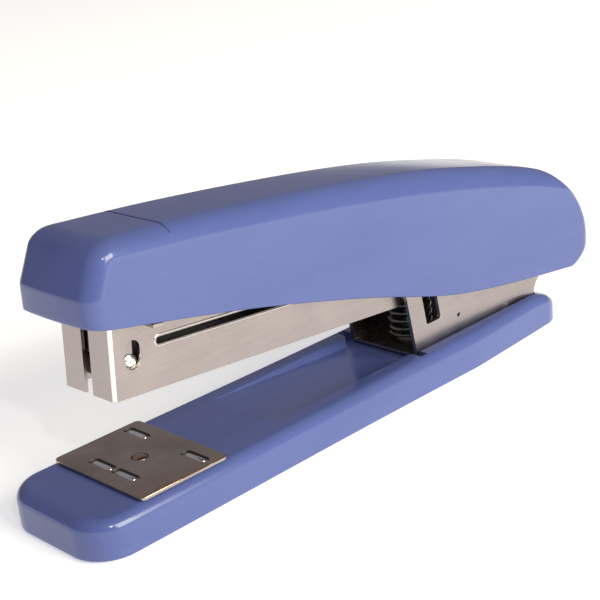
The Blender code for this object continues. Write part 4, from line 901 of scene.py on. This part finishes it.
def cover_skin():
    """The outside from its crown down to its rounded edge, then the inside back up."""
    fillet_share = COVER_FILLET / (20 * mm)
    rounding = 0.3 * mm                                   # of the moulding's lower edge
    outer = [cover_ring(0, rounding * (1 - sin(a)), 0, rounding * (1 - cos(a)))
             for a in (pi / 8 * i for i in range(4))]
    shares = [0.03 * i for i in range(1, 10)] + [0.29 + 0.01 * i for i in range(11)] \
        + [0.42 + 0.04 * i for i in range(9)]
    outer += [cover_ring(share, 0, 0) for share in shares]
    outer += [cover_ring(1 - fillet_share * (1 - sin(a)), COVER_FILLET * (1 - cos(a)), 0)
              for a in (pi / 2 * i / 16 for i in range(1, 17))]
    inner = [cover_ring(share, COVER_WALL, COVER_WALL) for share in (0, 0.12, FULLEST, 0.34, 0.5, 0.66)]
    inner += [cover_ring(1 - fillet_share * (1 - sin(a)),
                         COVER_WALL + (COVER_FILLET - COVER_WALL) * (1 - cos(a)), COVER_WALL)
              for a in (pi / 2 * i / 6 for i in range(1, 7))]
    return lay_up(list(reversed(outer)) + inner)


def in_cover(shape):
    """A shape moved from the cover's own measures to its place on the hinge."""
    bmesh.ops.transform(shape, matrix=COVER, verts=shape.verts)
    return shape


def step_tool():
    """What the step across the top takes out: a thin line that dies out towards the sides."""
    x, flat = -REACH + STEP_PLACE, COVER_HALF - COVER_TAPER - COVER_FILLET
    rings = []
    for i in range(33):
        y = (i / 16 - 1) * 10.9 * mm
        over = max(0, abs(y) - flat)
        top = along(CROWN_LINE, cover_share(x)) - COVER_FILLET + (COVER_FILLET ** 2 - over ** 2) ** 0.5
        depth = 0.24 * mm * (1 - (y / (11 * mm)) ** 6) + 0.01 * mm
        rings.append([(x + dx * mm, y, top + dz) for dx, dz in
                      ((-0.5, 0.4 * mm), (-0.4, -0.02 * mm), (-0.1, -depth), (0.12, -depth),
                       (0.2, -0.02 * mm), (0.22, 0.4 * mm))])
    return in_cover(bar(rings))


STEP_PLACE = 18.4 * mm                   # from the front of the cover
TAIL_NOTCH = (-23 * mm, -2 * mm)         # lets the tail swing up past the bracket
RIB_HALF_WIDTH, RIB_DEPTH, RIB_HALF_SHEET = 7 * mm, 4.6 * mm, 0.8 * mm
cover = made_piece("cover_moulding", cover_skin())
inner_half = COVER_HALF - COVER_WALL
foot, head = TAIL_NOTCH
under_tail = bar([[(x, y, z) for y, z in ((-inner_half, foot), (inner_half, foot), (inner_half, head),
                                          (-inner_half, head))] for x in (0, TAIL + 1 * mm)])
carve(cover, in_cover(under_tail), step_tool())
dress(cover, PERIWINKLE, "cover", "blue_shell", "cover")
for share in (0.75, 0.3):
    x = -REACH * share
    roof = along(CROWN_LINE, cover_share(x)) - COVER_WALL / 2
    rib = bar([[(a, y, z) for y, z in ((-RIB_HALF_WIDTH, roof - RIB_DEPTH),
                                       (RIB_HALF_WIDTH, roof - RIB_DEPTH),
                                       (RIB_HALF_WIDTH, roof), (-RIB_HALF_WIDTH, roof))]
               for a in (x - RIB_HALF_SHEET, x + RIB_HALF_SHEET)])
    dress(made_piece(f"roof_rib_{round(share * 100)}", in_cover(rib)), PERIWINKLE, "cover", "blue_shell")

# ==== studio =================================================================================
# A pale floor, a broad soft light low on the near side, a weak pale surround, and one small bright
# lamp that sets the highlights on the rounded corners.
SPAN = 6.0
floor_mesh = bpy.data.meshes.new("floor")
floor_mesh.from_pydata([(-SPAN, -SPAN, 0), (SPAN, -SPAN, 0), (SPAN, SPAN, 0), (-SPAN, SPAN, 0)], [],
                       [(0, 1, 2, 3)])
floor = bpy.data.objects.new("floor", floor_mesh)
bpy.context.collection.objects.link(floor)
floor_paper, paper_tree, paper_shader = finish("floor_paper", Roughness=0.95, Specular_IOR_Level=0.1,
                                               Emission_Color=(1, 0.99, 0.97, 1), Emission_Strength=0.5)
paper_place = add(paper_tree, "ShaderNodeTexCoord").outputs["Object"]
fibre = add(paper_tree, "ShaderNodeTexNoise", [("Vector", paper_place)], Scale=300.0, Detail=3.0)
paper_tree.links.new(ramp(paper_tree, fibre.outputs["Fac"], (0.3, 0.93), (0.7, 0.95)),
                     paper_shader["Base Color"])
floor_mesh.materials.append(floor_paper)


def soft_box(name, place, aim, size, power, colour=(1, 1, 1)):
    """A rectangular light aimed at a point."""
    lamp = bpy.data.lights.new(name, "AREA")
    lamp.shape = "RECTANGLE"
    lamp.size, lamp.size_y = size
    lamp.energy = power
    lamp.color = colour
    made = bpy.data.objects.new(name, lamp)
    made.location = place
    made.rotation_euler = (Vector(aim) - Vector(place)).to_track_quat("-Z", "Y").to_euler()
    bpy.context.collection.objects.link(made)


soft_box("near_soft_box", (0.25, -1.5, 0.75), (0, 0, 0.03), (1.2, 0.9), 38, (1, 0.99, 0.8))
soft_box("small_lamp", (-0.42, -0.87, 0.64), (-0.05, 0, 0.03), (0.045, 0.045), 1.8)
world = bpy.data.worlds.new("studio")
bpy.context.scene.world = world
world.use_nodes = True
sky = world.node_tree
surround, either = sky.nodes["Background"], sky.nodes.new("ShaderNodeMixShader")
seen = sky.nodes.new("ShaderNodeBackground")
surround.inputs["Color"].default_value = (0.97, 0.93, 1, 1)
surround.inputs["Strength"].default_value = 0.26
seen.inputs["Color"].default_value = (0.93, 0.93, 0.94, 1)
sky.links.new(sky.nodes.new("ShaderNodeLightPath").outputs["Is Camera Ray"], either.inputs[0])
sky.links.new(surround.outputs[0], either.inputs[1])
sky.links.new(seen.outputs[0], either.inputs[2])
sky.links.new(either.outputs[0], sky.nodes["World Output"].inputs["Surface"])
bpy.context.scene.view_settings.view_transform = "Standard"

# ==== camera =================================================================================
# It looks down on the nose from the near front, with the stapler running away to the upper right.
CAMERA_DISTANCE = 271.3 * mm
CAMERA_AZIMUTH, CAMERA_ELEVATION, CAMERA_ROLL = radians(-42.24), radians(19.96), radians(-6.31)
aim = PIN + Vector((-85.38, -12.62, 9.51)) * mm
back = Vector((sin(CAMERA_AZIMUTH) * cos(CAMERA_ELEVATION), -cos(CAMERA_AZIMUTH) * cos(CAMERA_ELEVATION),
               sin(CAMERA_ELEVATION)))
lens = bpy.data.cameras.new("camera")
lens.lens = 82.218
lens.sensor_width = 36
lens.clip_start, lens.clip_end = 0.01, 20
camera = bpy.data.objects.new("camera", lens)
camera.location = aim + back * CAMERA_DISTANCE
camera.rotation_mode = "QUATERNION"
camera.rotation_quaternion = (-back).to_track_quat("-Z", "Y") @ Quaternion((0, 0, 1), CAMERA_ROLL)
bpy.context.collection.objects.link(camera)
bpy.context.scene.camera = camera
